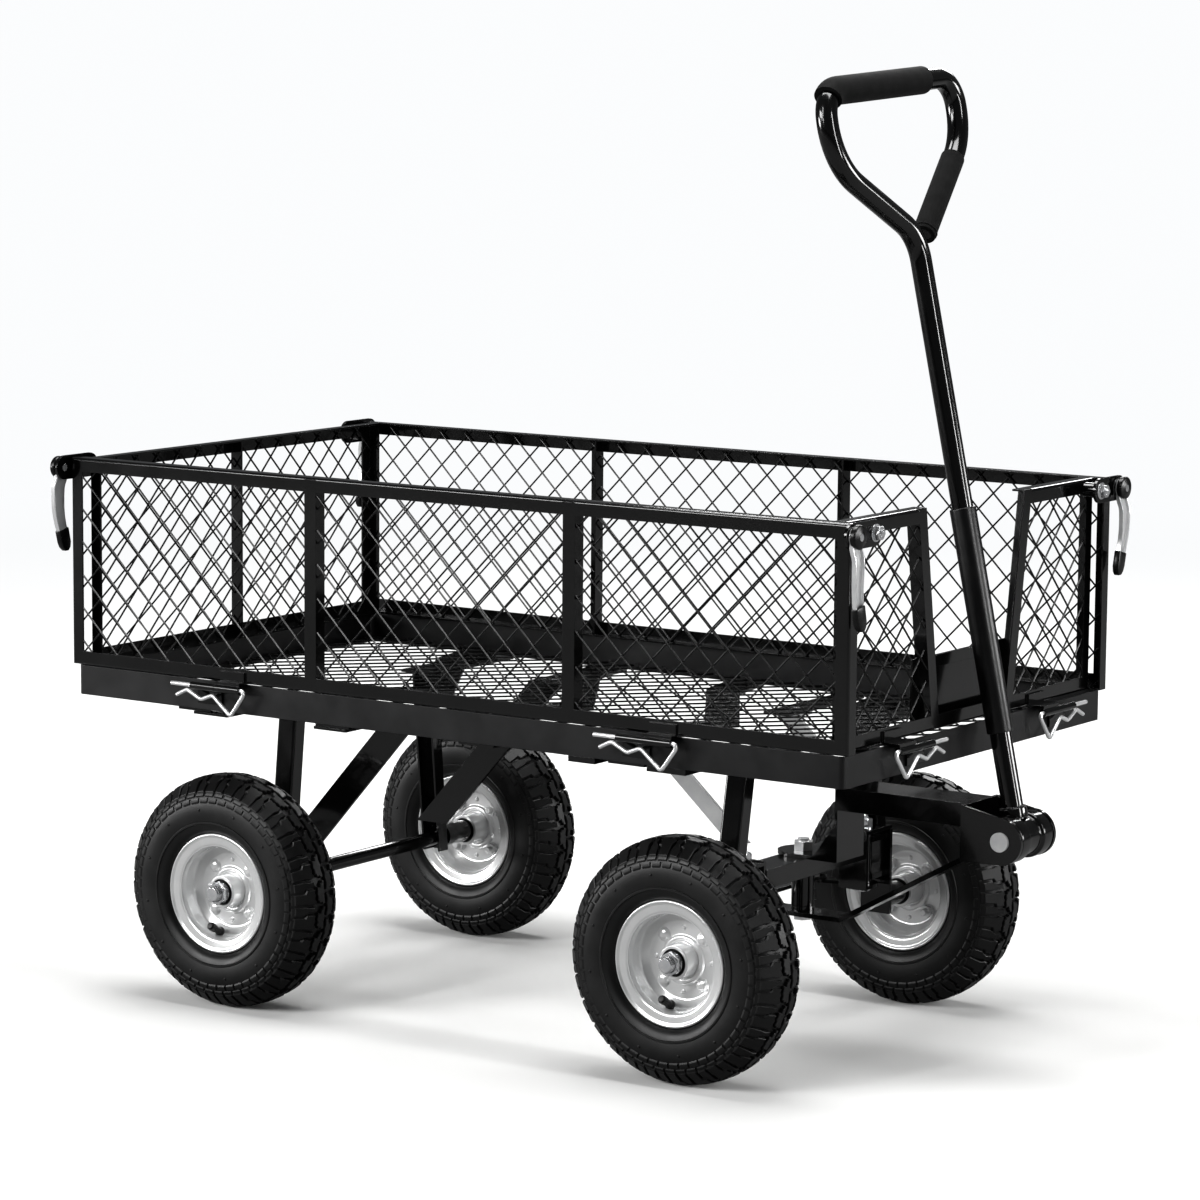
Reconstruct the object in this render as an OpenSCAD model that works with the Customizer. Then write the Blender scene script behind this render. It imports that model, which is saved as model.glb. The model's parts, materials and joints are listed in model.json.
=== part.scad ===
// Steel garden cart with fold-down mesh sides, four pneumatic wheels and a
// steered front truck pulled by a loop handle.
// X runs along the cart with the handle at +X, Y across it, Z up, in millimetres.
// Z = 0 is the ground and the origin is under the middle of the whole cart.

/* [Tray] */
// Length of the tray
tray_length = 975; // [700:5:1300]
// Width of the tray
tray_width = 524; // [440:2:700]
// Height of the tray wall
tray_wall = 32; // [20:1:60]
// Underside of the tray above the ground
tray_bottom = 328; // [300:1:400]
// Sheet thickness of the tray
tray_sheet = 2; // [1.2:0.1:3]
// Width of the lip that carries the floor mesh
tray_lip = 18; // [10:1:30]
// Outside radius of the tray corners
tray_corner = 6; // [3:0.5:15]
// Thickness of the straps under the floor
strap_sheet = 3; // [2:0.5:5]
// Width of a floor strap along the cart
strap_width = 44; // [30:1:60]
// First floor strap from the rear of the tray, at the tray wall
strap_start = 162; // [100:1:220]
// Distance from one floor strap to the next
strap_pitch = 186; // [150:1:220]
// How far forward a strap reaches in the middle of the floor
strap_reach = 132; // [60:1:160]

/* [Side panels] */
// Height of every mesh panel
panel_height = 226; // [160:1:350]
// Leg of the angle iron the panels are made of
angle_leg = 15; // [12:0.5:20]
// Thickness of the angle iron
angle_sheet = 2; // [1.2:0.1:2.5]
// Outside radius of the bent angle iron
angle_bend = 3; // [2.5:0.5:6]
// How far a side panel reaches past each end of the tray
panel_overhang = 5.5; // [4:0.5:12]
// How far a side panel stands out from the tray wall
side_standout = 3; // [1:0.5:4]
// Gap under the panels, above the tray wall
panel_gap = 1; // [1:0.5:3]
// Clearance between an end panel and the side panels
end_panel_clearance = 1; // [0.5:0.5:4]
// How far the face of an end panel sits inside the end of the tray
end_panel_inset = 7; // [5:0.5:10]
// Half the width of the handle notch at the top of the front panel
notch_half_top = 100; // [90:1:140]
// Half the width of the handle notch above the bottom rail
notch_half_bottom = 69; // [60:1:85]
// Height of the kick plate in the notch, above the bottom of the panel
kick_plate_height = 72; // [50:1:90]
// Half the length of the kick plate
kick_plate_half = 97; // [85:1:110]

/* [Wire mesh] */
// Pitch of the square mesh, which is laid at 45 degrees
mesh_pitch = 25.4; // [20:0.2:40]
// Pitch of the floor mesh
floor_pitch = 32; // [25:0.5:45]
// Width and thickness of a mesh wire
mesh_wire = 2.4; // [1.8:0.1:4]

/* [Panel hinges] */
// Distance of the hinge axis from the tray wall
hinge_standoff = 12; // [11:0.5:16]
// Depth of the hinge axis below the top of the tray wall
hinge_drop = 5; // [3:0.5:6]
// Length of one hinge knuckle
knuckle_length = 32.5; // [24:0.5:45]
// Outside radius of a hinge knuckle
knuckle_radius = 4.3; // [3.8:0.1:5.5]
// Thickness of a hinge tab
hinge_tab = 2.5; // [2:0.5:4]
// First side hinge from the rear of the tray
side_hinge_rear = 203; // [120:1:300]
// Second side hinge from the rear of the tray
side_hinge_front = 751; // [600:1:900]
// End panel hinges from the middle of the cart
end_hinge_offset = 146; // [120:1:190]
// Radius of the wire of a hinge clip
clip_wire = 2.25; // [1.5:0.05:3]
// Straight length of a hinge clip
clip_length = 99; // [80:1:130]
// Outward tilt of the waved leg of a hinge clip
clip_tilt = 6; // [0:1:12]

/* [Corner latches] */
// Distance of the lever pivot outside the tray wall
latch_pivot_out = 9; // [8:0.5:14]
// Distance of the plate bolt inside the tray wall
latch_bolt_in = 32; // [28:1:45]
// Depth of the latch pivot and bolt below the top of the panels
latch_drop = 11; // [9:0.5:18]
// Radius of the rounded ends of a latch plate
latch_plate_radius = 13; // [10:0.5:18]
// Thickness of a latch plate
latch_plate = 3; // [2:0.5:5]
// Gap between a latch plate and the end of a side panel
latch_gap = 3.5; // [2:0.5:8]
// Thickness of a lever at its pivot
lever_thickness = 6; // [4:0.5:10]
// Length of the bare part of a lever, below its pivot
lever_length = 70; // [50:1:100]
// Length of the plastic tip of a lever
lever_tip_length = 24; // [15:1:40]

/* [Wheels] */
// Outside radius of a tyre
wheel_radius = 127; // [115:1:140]
// Width of a tyre
tyre_width = 75; // [60:1:90]
// Distance of the middle of a wheel from the middle of the cart
wheel_offset = 224; // [210:1:240]
// Rear axle from the rear of the tray
rear_axle_setback = 185.5; // [150:0.5:250]
// Distance between the axles
wheelbase = 583.5; // [500:0.5:800]
// Radius of an axle
axle_radius = 8; // [6:0.5:10]
// Outside radius of the rim flange
rim_radius = 63.5; // [58:0.5:68]
// Radius of the bead seat of the rim
bead_radius = 51.3; // [48:0.1:54]
// Sheet thickness of the rim
rim_sheet = 2; // [1.5:0.1:3]
// Outside radius of a hub
hub_radius = 17.5; // [15:0.5:22]
// Length of a hub inward of the middle of the wheel
hub_in = 28; // [20:1:34]
// Length of a hub outward of the middle of the wheel
hub_out = 21; // [14:1:24]
// Radius of the circle the wheel bolts stand on
wheel_bolt_circle = 33; // [27:0.5:40]

/* [Undercarriage] */
// Width of a leg along the cart
leg_width = 24; // [18:1:40]
// Depth of a leg across the cart
leg_depth = 18; // [14:1:30]
// Sheet thickness of the legs
leg_sheet = 2.5; // [2:0.5:4]
// Distance of a leg from the middle of the cart at the floor
leg_offset_top = 121; // [110:1:135]
// Distance of a rear leg from the middle of the cart at the axle
leg_offset_axle = 141; // [135:1:150]
// Length of a leg foot along the cart
foot_length = 46; // [40:1:70]
// Width of a rear brace
rear_brace_width = 31; // [20:1:40]
// How far forward of the rear axle a rear brace reaches
rear_brace_reach = 161; // [120:1:220]
// Height at which a rear brace meets its leg
brace_weld_z = 148; // [130:1:200]
// Width of a front brace
front_brace_width = 18; // [12:1:30]
// How far rearward of the front axle a front brace reaches
front_brace_reach = 102; // [80:1:150]
// Thickness of the braces
brace_sheet = 4; // [3:0.5:6]
// Height of the pivot beam above the ground
beam_top = 200; // [190:1:220]
// Depth of the pivot beam
beam_depth = 20; // [15:1:28]
// Width of the pivot beam
beam_width = 36; // [30:1:50]

/* [Steering] */
// Distance of a kingpin from the middle of the cart
kingpin_offset = 120; // [112:1:124]
// Radius of the kingpins and the pivot bolts
pivot_bolt_radius = 6; // [5:0.5:7]
// Thickness of the knuckle bracket plates
yoke_sheet = 4; // [3:0.5:5]
// Height of a knuckle sleeve
sleeve_height = 54.4; // [45:0.2:60]
// Radius of a knuckle sleeve
sleeve_radius = 10; // [9:0.5:13]
// Rearward length of the steering arms
steer_arm = 60; // [45:1:75]
// Sideways offset of the inner tie rod pivots
rod_offset = 12; // [11:0.5:16]
// Width of a tie rod
rod_width = 15; // [12:1:18]
// Radius of the tie rod bolts
rod_bolt_radius = 4; // [3:0.5:5]

/* [Tongue and handle] */
// Width of the tongue channel
tongue_width = 54; // [40:1:66]
// Height of the tongue channel
tongue_depth = 24; // [18:1:34]
// Top of the tongue above the ground
tongue_top = 280; // [265:1:300]
// Sheet thickness of the tongue
tongue_sheet = 3; // [2:0.5:4]
// Handle pivot forward of the tray
hitch_overhang = 48; // [46:1:60]
// Height of the handle pivot above the ground
hitch_height = 247; // [235:1:260]
// Radius of the rounded ends of the hitch cheeks
cheek_radius = 24; // [20:0.5:30]
// Width across the hitch cheeks
cheek_width = 73; // [64:1:90]
// Rearward lean of the parked handle
handle_lean = 12.2; // [10:0.1:14]
// Outside radius of the handle tube
tube_radius = 11; // [9:0.5:14]
// Start of the loop, measured up the handle from its pivot
loop_start = 616; // [450:1:700]
// Height of the loop above its start
loop_height = 154; // [120:1:200]
// Half the width of the loop, between tube centres
loop_half = 128; // [90:1:150]
// Radius of the plastic sleeve on the handle
handle_sleeve_radius = 13.5; // [12:0.5:17]
// Lower end of the sleeve above the handle pivot
handle_sleeve_start = 107; // [80:1:150]
// Upper end of the sleeve above the handle pivot
handle_sleeve_end = 337; // [250:1:420]
// Radius of the foam grip
grip_radius = 14.5; // [13:0.5:18]

/* [Hidden] */
$fn = 48;
// radial clearance of a pin that turns in its bore
running_fit = 0.06;
// clearance between faces that slide past each other
face_gap = 0.4;
// depth by which a cutter runs past the face it cuts
over = 1;

// origin under the middle of the cart
latch_reach = panel_overhang + latch_gap + latch_plate + 2 * face_gap + lever_thickness + 5;
front_reach = hitch_overhang + cheek_radius;
rear_x = -(tray_length + front_reach - latch_reach) / 2;
front_x = rear_x + tray_length;
rear_axle_x = rear_x + rear_axle_setback;
front_axle_x = rear_axle_x + wheelbase;
hitch_x = front_x + hitch_overhang;
tray_half = tray_width / 2;
tray_top = tray_bottom + tray_wall;

// panels and their hinges
panel_bottom = tray_top + panel_gap;
panel_top = panel_bottom + panel_height;
side_face = tray_half + side_standout;
side_length = tray_length + 2 * panel_overhang;
end_half = side_face - angle_leg - end_panel_clearance;
hinge_z = tray_top - hinge_drop;
side_hinge_y = tray_half + hinge_standoff;
side_tab_reach = hinge_standoff - side_standout;
end_tab_reach = hinge_standoff + end_panel_inset;
knuckle_rise = panel_gap + hinge_drop;
knuckle_space = knuckle_length / 2 + face_gap / 2;
clip_bore = clip_wire + running_fit;
clip_over = 1.3 * knuckle_radius;
clip_path = [[0, 0], [-16, 28], [-42, 8], [-57, 14], [-77, 5], [-91, 12]];
clip_bends = [0, 3.5, 6, 6, 6, 0];

// latches
latch_z = panel_top - latch_drop;
latch_pivot_y = tray_half + latch_pivot_out;
latch_bolt_y = tray_half - latch_bolt_in;
latch_face = panel_overhang + latch_gap;
latch_bolt_radius = 4;

// undercarriage
floor_z = tray_bottom + tray_sheet;
strap_z = tray_bottom - strap_sheet;
foot_z = strap_z - strap_sheet;
leg_lean_rate = (leg_offset_axle - leg_offset_top) / (foot_z - wheel_radius);
brace_inside = leg_inside(brace_weld_z);
brace_bolt_y = brace_inside + 18;
front_brace_foot = 1.8 * front_brace_width;
wheel_gap = 0.4;
hub_in_y = wheel_offset - hub_in;
hub_out_y = wheel_offset + hub_out;
axle_nut_height = 9;
axle_end_y = hub_out_y + wheel_gap + axle_nut_height + 3;

// steered truck
yoke_low = beam_top + 5 - sleeve_height - 2 * face_gap;
yoke_high = beam_top + 5;
yoke_width = 34;
yoke_radius = yoke_width / 2;
yoke_web_y = kingpin_offset - 16;
front_leg_foot_y = kingpin_offset + 21;
front_leg_rate = (front_leg_foot_y - leg_offset_top) / (foot_z - yoke_high - yoke_sheet);
stub_plate_y = kingpin_offset + 28;
arm_z = yoke_low - yoke_sheet - face_gap - yoke_sheet;
rod_z = arm_z + yoke_sheet + face_gap;
rod_y = kingpin_offset + rod_offset;
rod_x = front_axle_x - steer_arm;
strut_z = arm_z - 6;
strut_sheet = 5;
tongue_rear_x = front_axle_x + 54;
tongue_front_x = front_x + 2;
cheek_sheet = 4;
foot_half = cheek_width / 2 - cheek_sheet - face_gap;
foot_radius = cheek_radius - 0.4;
foot_top = 18;
hitch_pin_radius = 6.5;

black_paint = [0.04, 0.04, 0.045];
grey_paint = [0.13, 0.13, 0.14];
zinc = [0.78, 0.79, 0.8];
rubber = [0.06, 0.06, 0.06];
plastic = [0.08, 0.08, 0.08];

// ---------- shared shapes ----------

function direction(a, b) = (b - a) / norm(b - a);
function turn(a, b) = atan2(a[0] * b[1] - a[1] * b[0], a * b);
function turned(v, angle) = [v[0] * cos(angle) - v[1] * sin(angle), v[0] * sin(angle) + v[1] * cos(angle)];
function left_of(v) = [-v[1], v[0]];

// Points along the bend of radius r at the corner b between a and c
function bend_points(a, b, c, r, steps) =
    let (
        come = direction(a, b),
        angle = turn(come, direction(b, c)),
        start = b - come * r * tan(abs(angle) / 2),
        centre = start + sign(angle) * r * left_of(come)
    )
    [for (k = [0:steps]) centre + turned(start - centre, angle * k / steps)];

function bent_path(path, bends, steps) = concat(
    [path[0]],
    [for (i = [1:len(path) - 2]) each bend_points(path[i - 1], path[i], path[i + 1], bends[i], steps)],
    [path[len(path) - 1]]
);

function heading(line, i) = direction(line[max(i - 1, 0)], line[min(i + 1, len(line) - 1)]);

// A rod or tube bent from one length: path holds the corners and bends the
// centreline radius at each of them, and the rod lies in the XY plane.
module bent_rod(path, bends, r, sides, steps) {
    line = bent_path(path, bends, steps);
    last = len(line) - 1;
    points = [
        for (i = [0:last], k = [0:sides - 1])
            let (across = left_of(heading(line, i)) * r * cos(360 * k / sides))
            [line[i][0] + across[0], line[i][1] + across[1], r * sin(360 * k / sides)]
    ];
    skin = [
        for (i = [0:last - 1], k = [0:sides - 1], half = [0, 1])
            let (
                near = i * sides + k,
                beside = i * sides + (k + 1) % sides
            )
            half == 0 ? [near, near + sides, beside + sides] : [near, beside + sides, beside]
    ];
    caps = [
        [for (k = [0:sides - 1]) k],
        [for (k = [0:sides - 1]) last * sides + sides - 1 - k]
    ];
    polyhedron(points, concat(skin, caps));
}

module rounded_rectangle(length, width, r) {
    translate([-length / 2, -width / 2 + r])
        square([length, width - 2 * r]);
    translate([-length / 2 + r, -width / 2])
        square([length - 2 * r, width]);
    for (x = [-1, 1], y = [-1, 1])
        translate([x * (length / 2 - r), y * (width / 2 - r)])
            circle(r);
}

// Flat bar with round ends between two points of the XY plane
module link_outline(a, b, r) {
    span = norm(b - a);
    translate(a)
        circle(r);
    translate(b)
        circle(r);
    translate(a)
        rotate(atan2(b[1] - a[1], b[0] - a[0]))
            translate([0, -r])
                square([span, 2 * r]);
}

module hex_nut(across, height, bore) {
    difference() {
        cylinder(h = height, r = across / sqrt(3), $fn = 6);
        translate([0, 0, -over])
            cylinder(h = height + 2 * over, r = bore);
    }
}

// Section of an angle iron, outside corner at the origin
module angle_section() {
    difference() {
        union() {
            translate([angle_bend, angle_bend])
                circle(angle_bend);
            translate([angle_bend, 0])
                square([angle_leg - angle_bend, angle_leg]);
            translate([0, angle_bend])
                square([angle_leg, angle_leg - angle_bend]);
        }
        translate([angle_sheet, angle_sheet])
            square(angle_leg);
    }
}

// Angle iron along X, outer face at Y = 0 and lower edge at Z = 0
module angle_bar(length) {
    rotate([90, 0, 90])
        linear_extrude(length)
            angle_section();
}

module mitre(points) {
    translate([0, angle_leg + over, 0])
        rotate([90, 0, 0])
            linear_extrude(angle_leg + 2 * over)
                polygon(points);
}

// Frame of angle iron in the XZ plane with mitred corners. Its outer face is
// at Y = 0 and its flanges run to +Y. The top rail is left out from cut_from
// to cut_to when they differ.
module angle_frame(length, height, cut_from, cut_to) {
    intersection() {
        angle_bar(length);
        mitre([[0, 0], [length, 0], [length - angle_leg, angle_leg], [angle_leg, angle_leg]]);
    }
    difference() {
        intersection() {
            translate([0, 0, height])
                mirror([0, 0, 1])
                    angle_bar(length);
            mitre([[0, height], [length, height],
                [length - angle_leg, height - angle_leg], [angle_leg, height - angle_leg]]);
        }
        if (cut_to > cut_from)
            translate([cut_from, -over, height - angle_leg - over])
                cube([cut_to - cut_from, angle_leg + 2 * over, angle_leg + 2 * over]);
    }
    intersection() {
        end_bar(height);
        mitre([[0, 0], [angle_leg, angle_leg], [angle_leg, height - angle_leg], [0, height]]);
    }
    translate([length, 0, 0])
        mirror([1, 0, 0])
            intersection() {
                end_bar(height);
                mitre([[0, 0], [angle_leg, angle_leg], [angle_leg, height - angle_leg], [0, height]]);
            }
}

module end_bar(height) {
    translate([0, 0, height])
        rotate([0, 90, 0])
            angle_bar(height);
}

// Upright between the rails, with its return leg on the +X edge
module upright(x, height) {
    translate([x - angle_leg / 2, 0, angle_sheet])
        cube([angle_leg, angle_sheet, height - 2 * angle_sheet]);
    translate([x + angle_leg / 2 - angle_sheet, 0, angle_sheet])
        cube([angle_sheet, angle_leg, height - 2 * angle_sheet]);
}

// Square mesh at 45 degrees that fills the outline given as children
module diamond_mesh(length, height, pitch) {
    step = pitch / sqrt(2);
    linear_extrude(mesh_wire)
        difference() {
            children();
            for (i = [-1:ceil(length / step) + 1], j = [-1:ceil(height / step) + 1])
                if ((i + j) % 2 == 0)
                    translate([i * step, j * step])
                        rotate(45)
                            square(pitch - mesh_wire, center = true);
        }
}

// Mesh bay behind an angle frame, from x0 to x1 and over the full height
module mesh_bay(x0, x1, height) {
    edge = angle_sheet + 0.5;
    translate([x0, angle_sheet + mesh_wire, edge])
        rotate([90, 0, 0])
            diamond_mesh(x1 - x0, height - 2 * edge, mesh_pitch)
                square([x1 - x0, height - 2 * edge]);
}

// ---------- where the panels stand ----------

module at_right_side() {
    translate([rear_x - panel_overhang, -side_face, panel_bottom])
        children();
}

module at_left_side() {
    mirror([0, 1, 0])
        at_right_side()
            children();
}

module at_rear() {
    translate([rear_x + end_panel_inset, end_half, panel_bottom])
        rotate([0, 0, -90])
            children();
}

module at_front() {
    translate([front_x - end_panel_inset, -end_half, panel_bottom])
        rotate([0, 0, 90])
            children();
}

// ---------- hinges ----------

// Knuckle with a tab that folds over to a panel face reach away, drawn in
// the panel's own frame with the knuckle centred at x
module panel_knuckle(x, reach) {
    translate([x - knuckle_length / 2, -reach, -knuckle_rise])
        rotate([90, 0, 90])
            linear_extrude(knuckle_length)
                difference() {
                    union() {
                        circle(knuckle_radius);
                        translate([-hinge_tab / 2, 0])
                            square([hinge_tab, knuckle_rise + 1.5]);
                        translate([-hinge_tab / 2, knuckle_rise - 1])
                            square([reach + hinge_tab / 2, hinge_tab]);
                        translate([reach - hinge_tab, knuckle_rise - 1])
                            square([hinge_tab, angle_leg - 2]);
                    }
                    circle(clip_bore);
                }
}

// Knuckle welded to the tray wall by a tab, drawn round the hinge axis with
// the wall at Y = hinge_standoff
module wall_knuckle(x) {
    translate([x - knuckle_length / 2, 0, 0])
        rotate([90, 0, 90])
            linear_extrude(knuckle_length)
                difference() {
                    union() {
                        circle(knuckle_radius);
                        translate([0, -knuckle_radius])
                            square([hinge_standoff, hinge_tab]);
                        translate([hinge_standoff - hinge_tab, -20])
                            square([hinge_tab, 20]);
                    }
                    circle(clip_bore);
                }
}

// Spring clip that serves as the hinge pin: its straight leg lies in the
// knuckles along X and its waved leg springs back below them
module hinge_clip() {
    translate([knuckle_length + clip_over, 0, 0]) {
        translate([clip_wire, 0, 0])
            rotate([0, -90, 0])
                cylinder(h = clip_length + clip_wire, r = clip_wire);
        rotate([-90 - clip_tilt, 0, 0])
            bent_rod(clip_path, clip_bends, clip_wire, 10, 3);
    }
}

module at_hinge_side(x) {
    translate([rear_x + x, -side_hinge_y, hinge_z])
        children();
}

module at_hinge_front(y) {
    translate([front_x + hinge_standoff, y, hinge_z])
        rotate([0, 0, 90])
            mirror([1, 0, 0])
                children();
}

module at_hinge_rear(y) {
    translate([rear_x - hinge_standoff, y, hinge_z])
        rotate([0, 0, -90])
            children();
}

module each_side_hinge() {
    for (x = [side_hinge_rear, side_hinge_front], m = [0, 1])
        mirror([0, m, 0])
            at_hinge_side(x)
                children();
}

module each_end_hinge() {
    for (y = [-end_hinge_offset, end_hinge_offset]) {
        at_hinge_front(y)
            children();
        at_hinge_rear(y)
            children();
    }
}

// ---------- tray ----------

module tray() {
    color(grey_paint)
        translate([rear_x + tray_length / 2, 0, tray_bottom]) {
            difference() {
                linear_extrude(tray_wall)
                    rounded_rectangle(tray_length, tray_width, tray_corner);
                translate([0, 0, tray_sheet])
                    linear_extrude(tray_wall)
                        rounded_rectangle(tray_length - 2 * tray_sheet,
                            tray_width - 2 * tray_sheet, tray_corner - tray_sheet);
                translate([0, 0, -over])
                    linear_extrude(tray_wall)
                        rounded_rectangle(tray_length - 2 * tray_lip,
                            tray_width - 2 * tray_lip, tray_corner);
            }
        }
}

module floor_mesh() {
    edge = tray_sheet + 0.5;
    length = tray_length - 2 * edge;
    width = tray_width - 2 * edge;
    color(black_paint)
        translate([rear_x + edge, -width / 2, floor_z])
            diamond_mesh(length, width, floor_pitch)
                square([length, width]);
}

// Cranked straps that carry the floor mesh from wall to wall
module strap_set() {
    half = tray_half - tray_sheet;
    knee = half * 0.7;
    knee_reach = strap_reach * 0.12;
    for (i = [0:3])
        translate([rear_x + strap_start + i * strap_pitch, 0, strap_z])
            linear_extrude(strap_sheet)
                for (m = [0, 1])
                    mirror([0, m])
                        polygon([
                            [-strap_width / 2, half],
                            [strap_width / 2, half],
                            [strap_width / 2 + knee_reach, knee],
                            [strap_width / 2 + strap_reach, 0],
                            [-strap_width / 2 + strap_reach, 0],
                            [-strap_width / 2 + knee_reach, knee]
                        ]);
}

module floor_straps() {
    color(black_paint)
        strap_set();
}

module tray_knuckles() {
    color(black_paint) {
        each_side_hinge()
            wall_knuckle(-knuckle_space);
        each_end_hinge()
            wall_knuckle(-knuckle_space);
    }
}

module hinge_clips() {
    color(zinc) {
        each_side_hinge()
            hinge_clip();
        each_end_hinge()
            hinge_clip();
    }
}

// ---------- side and end panels ----------

module side_frame() {
    angle_frame(side_length, panel_height, 0, 0);
    for (i = [1, 2])
        upright(side_length * i / 3, panel_height);
    for (x = [side_hinge_rear, side_hinge_front])
        panel_knuckle(panel_overhang + x + knuckle_space, side_tab_reach);
}

module side_mesh() {
    edge = angle_sheet + 0.5;
    stops = [0, side_length / 3 + angle_leg / 2, side_length * 2 / 3 + angle_leg / 2, side_length];
    mesh_bay(edge, stops[1] - edge, panel_height);
    mesh_bay(stops[1] + 0.5, stops[2] - edge, panel_height);
    mesh_bay(stops[2] + 0.5, stops[3] - edge, panel_height);
}

module right_frame() {
    color(black_paint)
        at_right_side()
            side_frame();
}

module right_mesh() {
    color(black_paint)
        at_right_side()
            side_mesh();
}

module left_frame() {
    color(black_paint)
        at_left_side()
            side_frame();
}

module left_mesh() {
    color(black_paint)
        at_left_side()
            side_mesh();
}

module end_knuckles(flip) {
    for (y = [-end_hinge_offset, end_hinge_offset])
        panel_knuckle(end_half + y + flip * knuckle_space, end_tab_reach);
}

module rear_frame() {
    color(black_paint)
        at_rear() {
            angle_frame(2 * end_half, panel_height, 0, 0);
            upright(end_half, panel_height);
            end_knuckles(1);
        }
}

module rear_mesh() {
    edge = angle_sheet + 0.5;
    color(black_paint)
        at_rear() {
            mesh_bay(edge, end_half + angle_leg / 2 - edge, panel_height);
            mesh_bay(end_half + angle_leg / 2 + 0.5, 2 * end_half - edge, panel_height);
        }
}

// Half the notch width at a height above the bottom of the panel
function notch_half(z) = notch_half_bottom
    + (notch_half_top - notch_half_bottom) * (z - angle_leg) / (panel_height - angle_leg);

// Leaning upright at the -Y edge of the notch, its return leg away from the notch
module notch_post() {
    foot = end_half - notch_half(0);
    head = end_half - notch_half_top;
    foot_z = angle_sheet;
    translate([0, angle_sheet, 0])
        rotate([90, 0, 0])
            linear_extrude(angle_sheet)
                polygon([[foot - angle_leg, foot_z], [foot, foot_z],
                    [head, panel_height], [head - angle_leg, panel_height]]);
    translate([0, angle_leg, 0])
        rotate([90, 0, 0])
            linear_extrude(angle_leg)
                polygon([[foot - angle_leg, foot_z], [foot - angle_leg + angle_sheet, foot_z],
                    [head - angle_leg + angle_sheet, panel_height], [head - angle_leg, panel_height]]);
}

module front_frame() {
    color(black_paint)
        at_front() {
            angle_frame(2 * end_half, panel_height, end_half - notch_half_top, end_half + notch_half_top);
            notch_post();
            translate([2 * end_half, 0, 0])
                mirror([1, 0, 0])
                    notch_post();
            end_knuckles(-1);
        }
}

module front_mesh_bay() {
    edge = angle_sheet + 0.5;
    height = panel_height - 2 * edge;
    foot = end_half - notch_half(edge) - angle_leg - 0.5;
    head = end_half - notch_half(panel_height - edge) - angle_leg - 0.5;
    translate([edge, angle_sheet + mesh_wire, edge])
        rotate([90, 0, 0])
            diamond_mesh(foot - edge, height, mesh_pitch)
                polygon([[0, 0], [foot - edge, 0], [head - edge, height], [0, height]]);
}

module front_mesh() {
    color(black_paint)
        at_front() {
            front_mesh_bay();
            translate([2 * end_half, 0, 0])
                mirror([1, 0, 0])
                    front_mesh_bay();
        }
}

// Kick plate behind the notch uprights, with its top edge hemmed
module front_kick_plate() {
    hem = 12;
    color(black_paint)
        at_front()
            translate([end_half - kick_plate_half, angle_leg, angle_sheet]) {
                cube([2 * kick_plate_half, angle_sheet, kick_plate_height - angle_sheet]);
                translate([0, -angle_sheet, kick_plate_height - angle_sheet - hem])
                    translate([angle_leg + 12, 0, 0])
                        cube([2 * kick_plate_half - 2 * angle_leg - 24, angle_sheet + over, hem]);
            }
}

// ---------- corner latches ----------

// Places a latch of the right-hand corner of the front, plate in the YZ plane
// with X = 0 at the end of the tray
module at_front_corner() {
    translate([front_x, 0, latch_z])
        children();
}

module at_rear_corner() {
    translate([rear_x, 0, latch_z])
        mirror([1, 0, 0])
            children();
}

module both_sides() {
    children();
    mirror([0, 1, 0])
        children();
}

// Plate that reaches from the corner of an end panel past the side panel,
// with the spacer that stands it off
module latch_plate_piece() {
    spacer = latch_face + end_panel_inset;
    translate([latch_face, 0, 0])
        rotate([90, 0, 90])
            linear_extrude(latch_plate)
                difference() {
                    link_outline([-latch_pivot_y, 0], [-latch_bolt_y, 0], latch_plate_radius);
                    translate([-latch_pivot_y, 0])
                        circle(latch_bolt_radius);
                    translate([-latch_bolt_y, 0])
                        circle(latch_bolt_radius);
                }
    translate([-end_panel_inset, -latch_bolt_y, 0])
        rotate([0, 90, 0])
            difference() {
                cylinder(h = spacer - 0.02, r = 8);
                translate([0, 0, -over])
                    cylinder(h = spacer + 2 * over, r = latch_bolt_radius);
            }
}

// Bolt and nut at the panel corner, and the pivot bolt of the lever
module latch_bolt_pieces() {
    front = latch_face + latch_plate;
    translate([-end_panel_inset, -latch_bolt_y, 0])
        rotate([0, 90, 0])
            cylinder(h = end_panel_inset + front + 7, r = latch_bolt_radius);
    translate([front, -latch_bolt_y, 0])
        rotate([0, 90, 0]) {
            difference() {
                cylinder(h = 1.5, r = 9);
                translate([0, 0, -over])
                    cylinder(h = 4, r = latch_bolt_radius);
            }
            translate([0, 0, 1.5])
                hex_nut(13, 5.5, latch_bolt_radius);
        }
    translate([latch_face, -latch_pivot_y, 0])
        rotate([0, 90, 0])
            cylinder(h = latch_plate + 2 * face_gap + lever_thickness + 5, r = latch_bolt_radius);
    translate([front + 2 * face_gap + lever_thickness, -latch_pivot_y, 0])
        rotate([0, 90, 0])
            hex_nut(13, 5, latch_bolt_radius);
}

// Cam lever of pressed steel that hangs from its pivot bolt
module lever_piece() {
    x0 = latch_face + latch_plate + face_gap;
    translate([x0, -latch_pivot_y, 0])
        rotate([90, 0, 90])
            difference() {
                union() {
                    linear_extrude(lever_thickness)
                        circle(10);
                    linear_extrude(lever_thickness)
                        polygon([[-6.5, 0], [6.5, 0], [5, -lever_length], [-5, -lever_length]]);
                }
                translate([0, 0, 1.8])
                    linear_extrude(lever_thickness)
                        polygon([[-4.7, -14], [4.7, -14], [3.2, -lever_length - over],
                            [-3.2, -lever_length - over]]);
                translate([0, 0, -over])
                    cylinder(h = lever_thickness + 2 * over, r = latch_bolt_radius + running_fit);
            }
}

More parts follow.
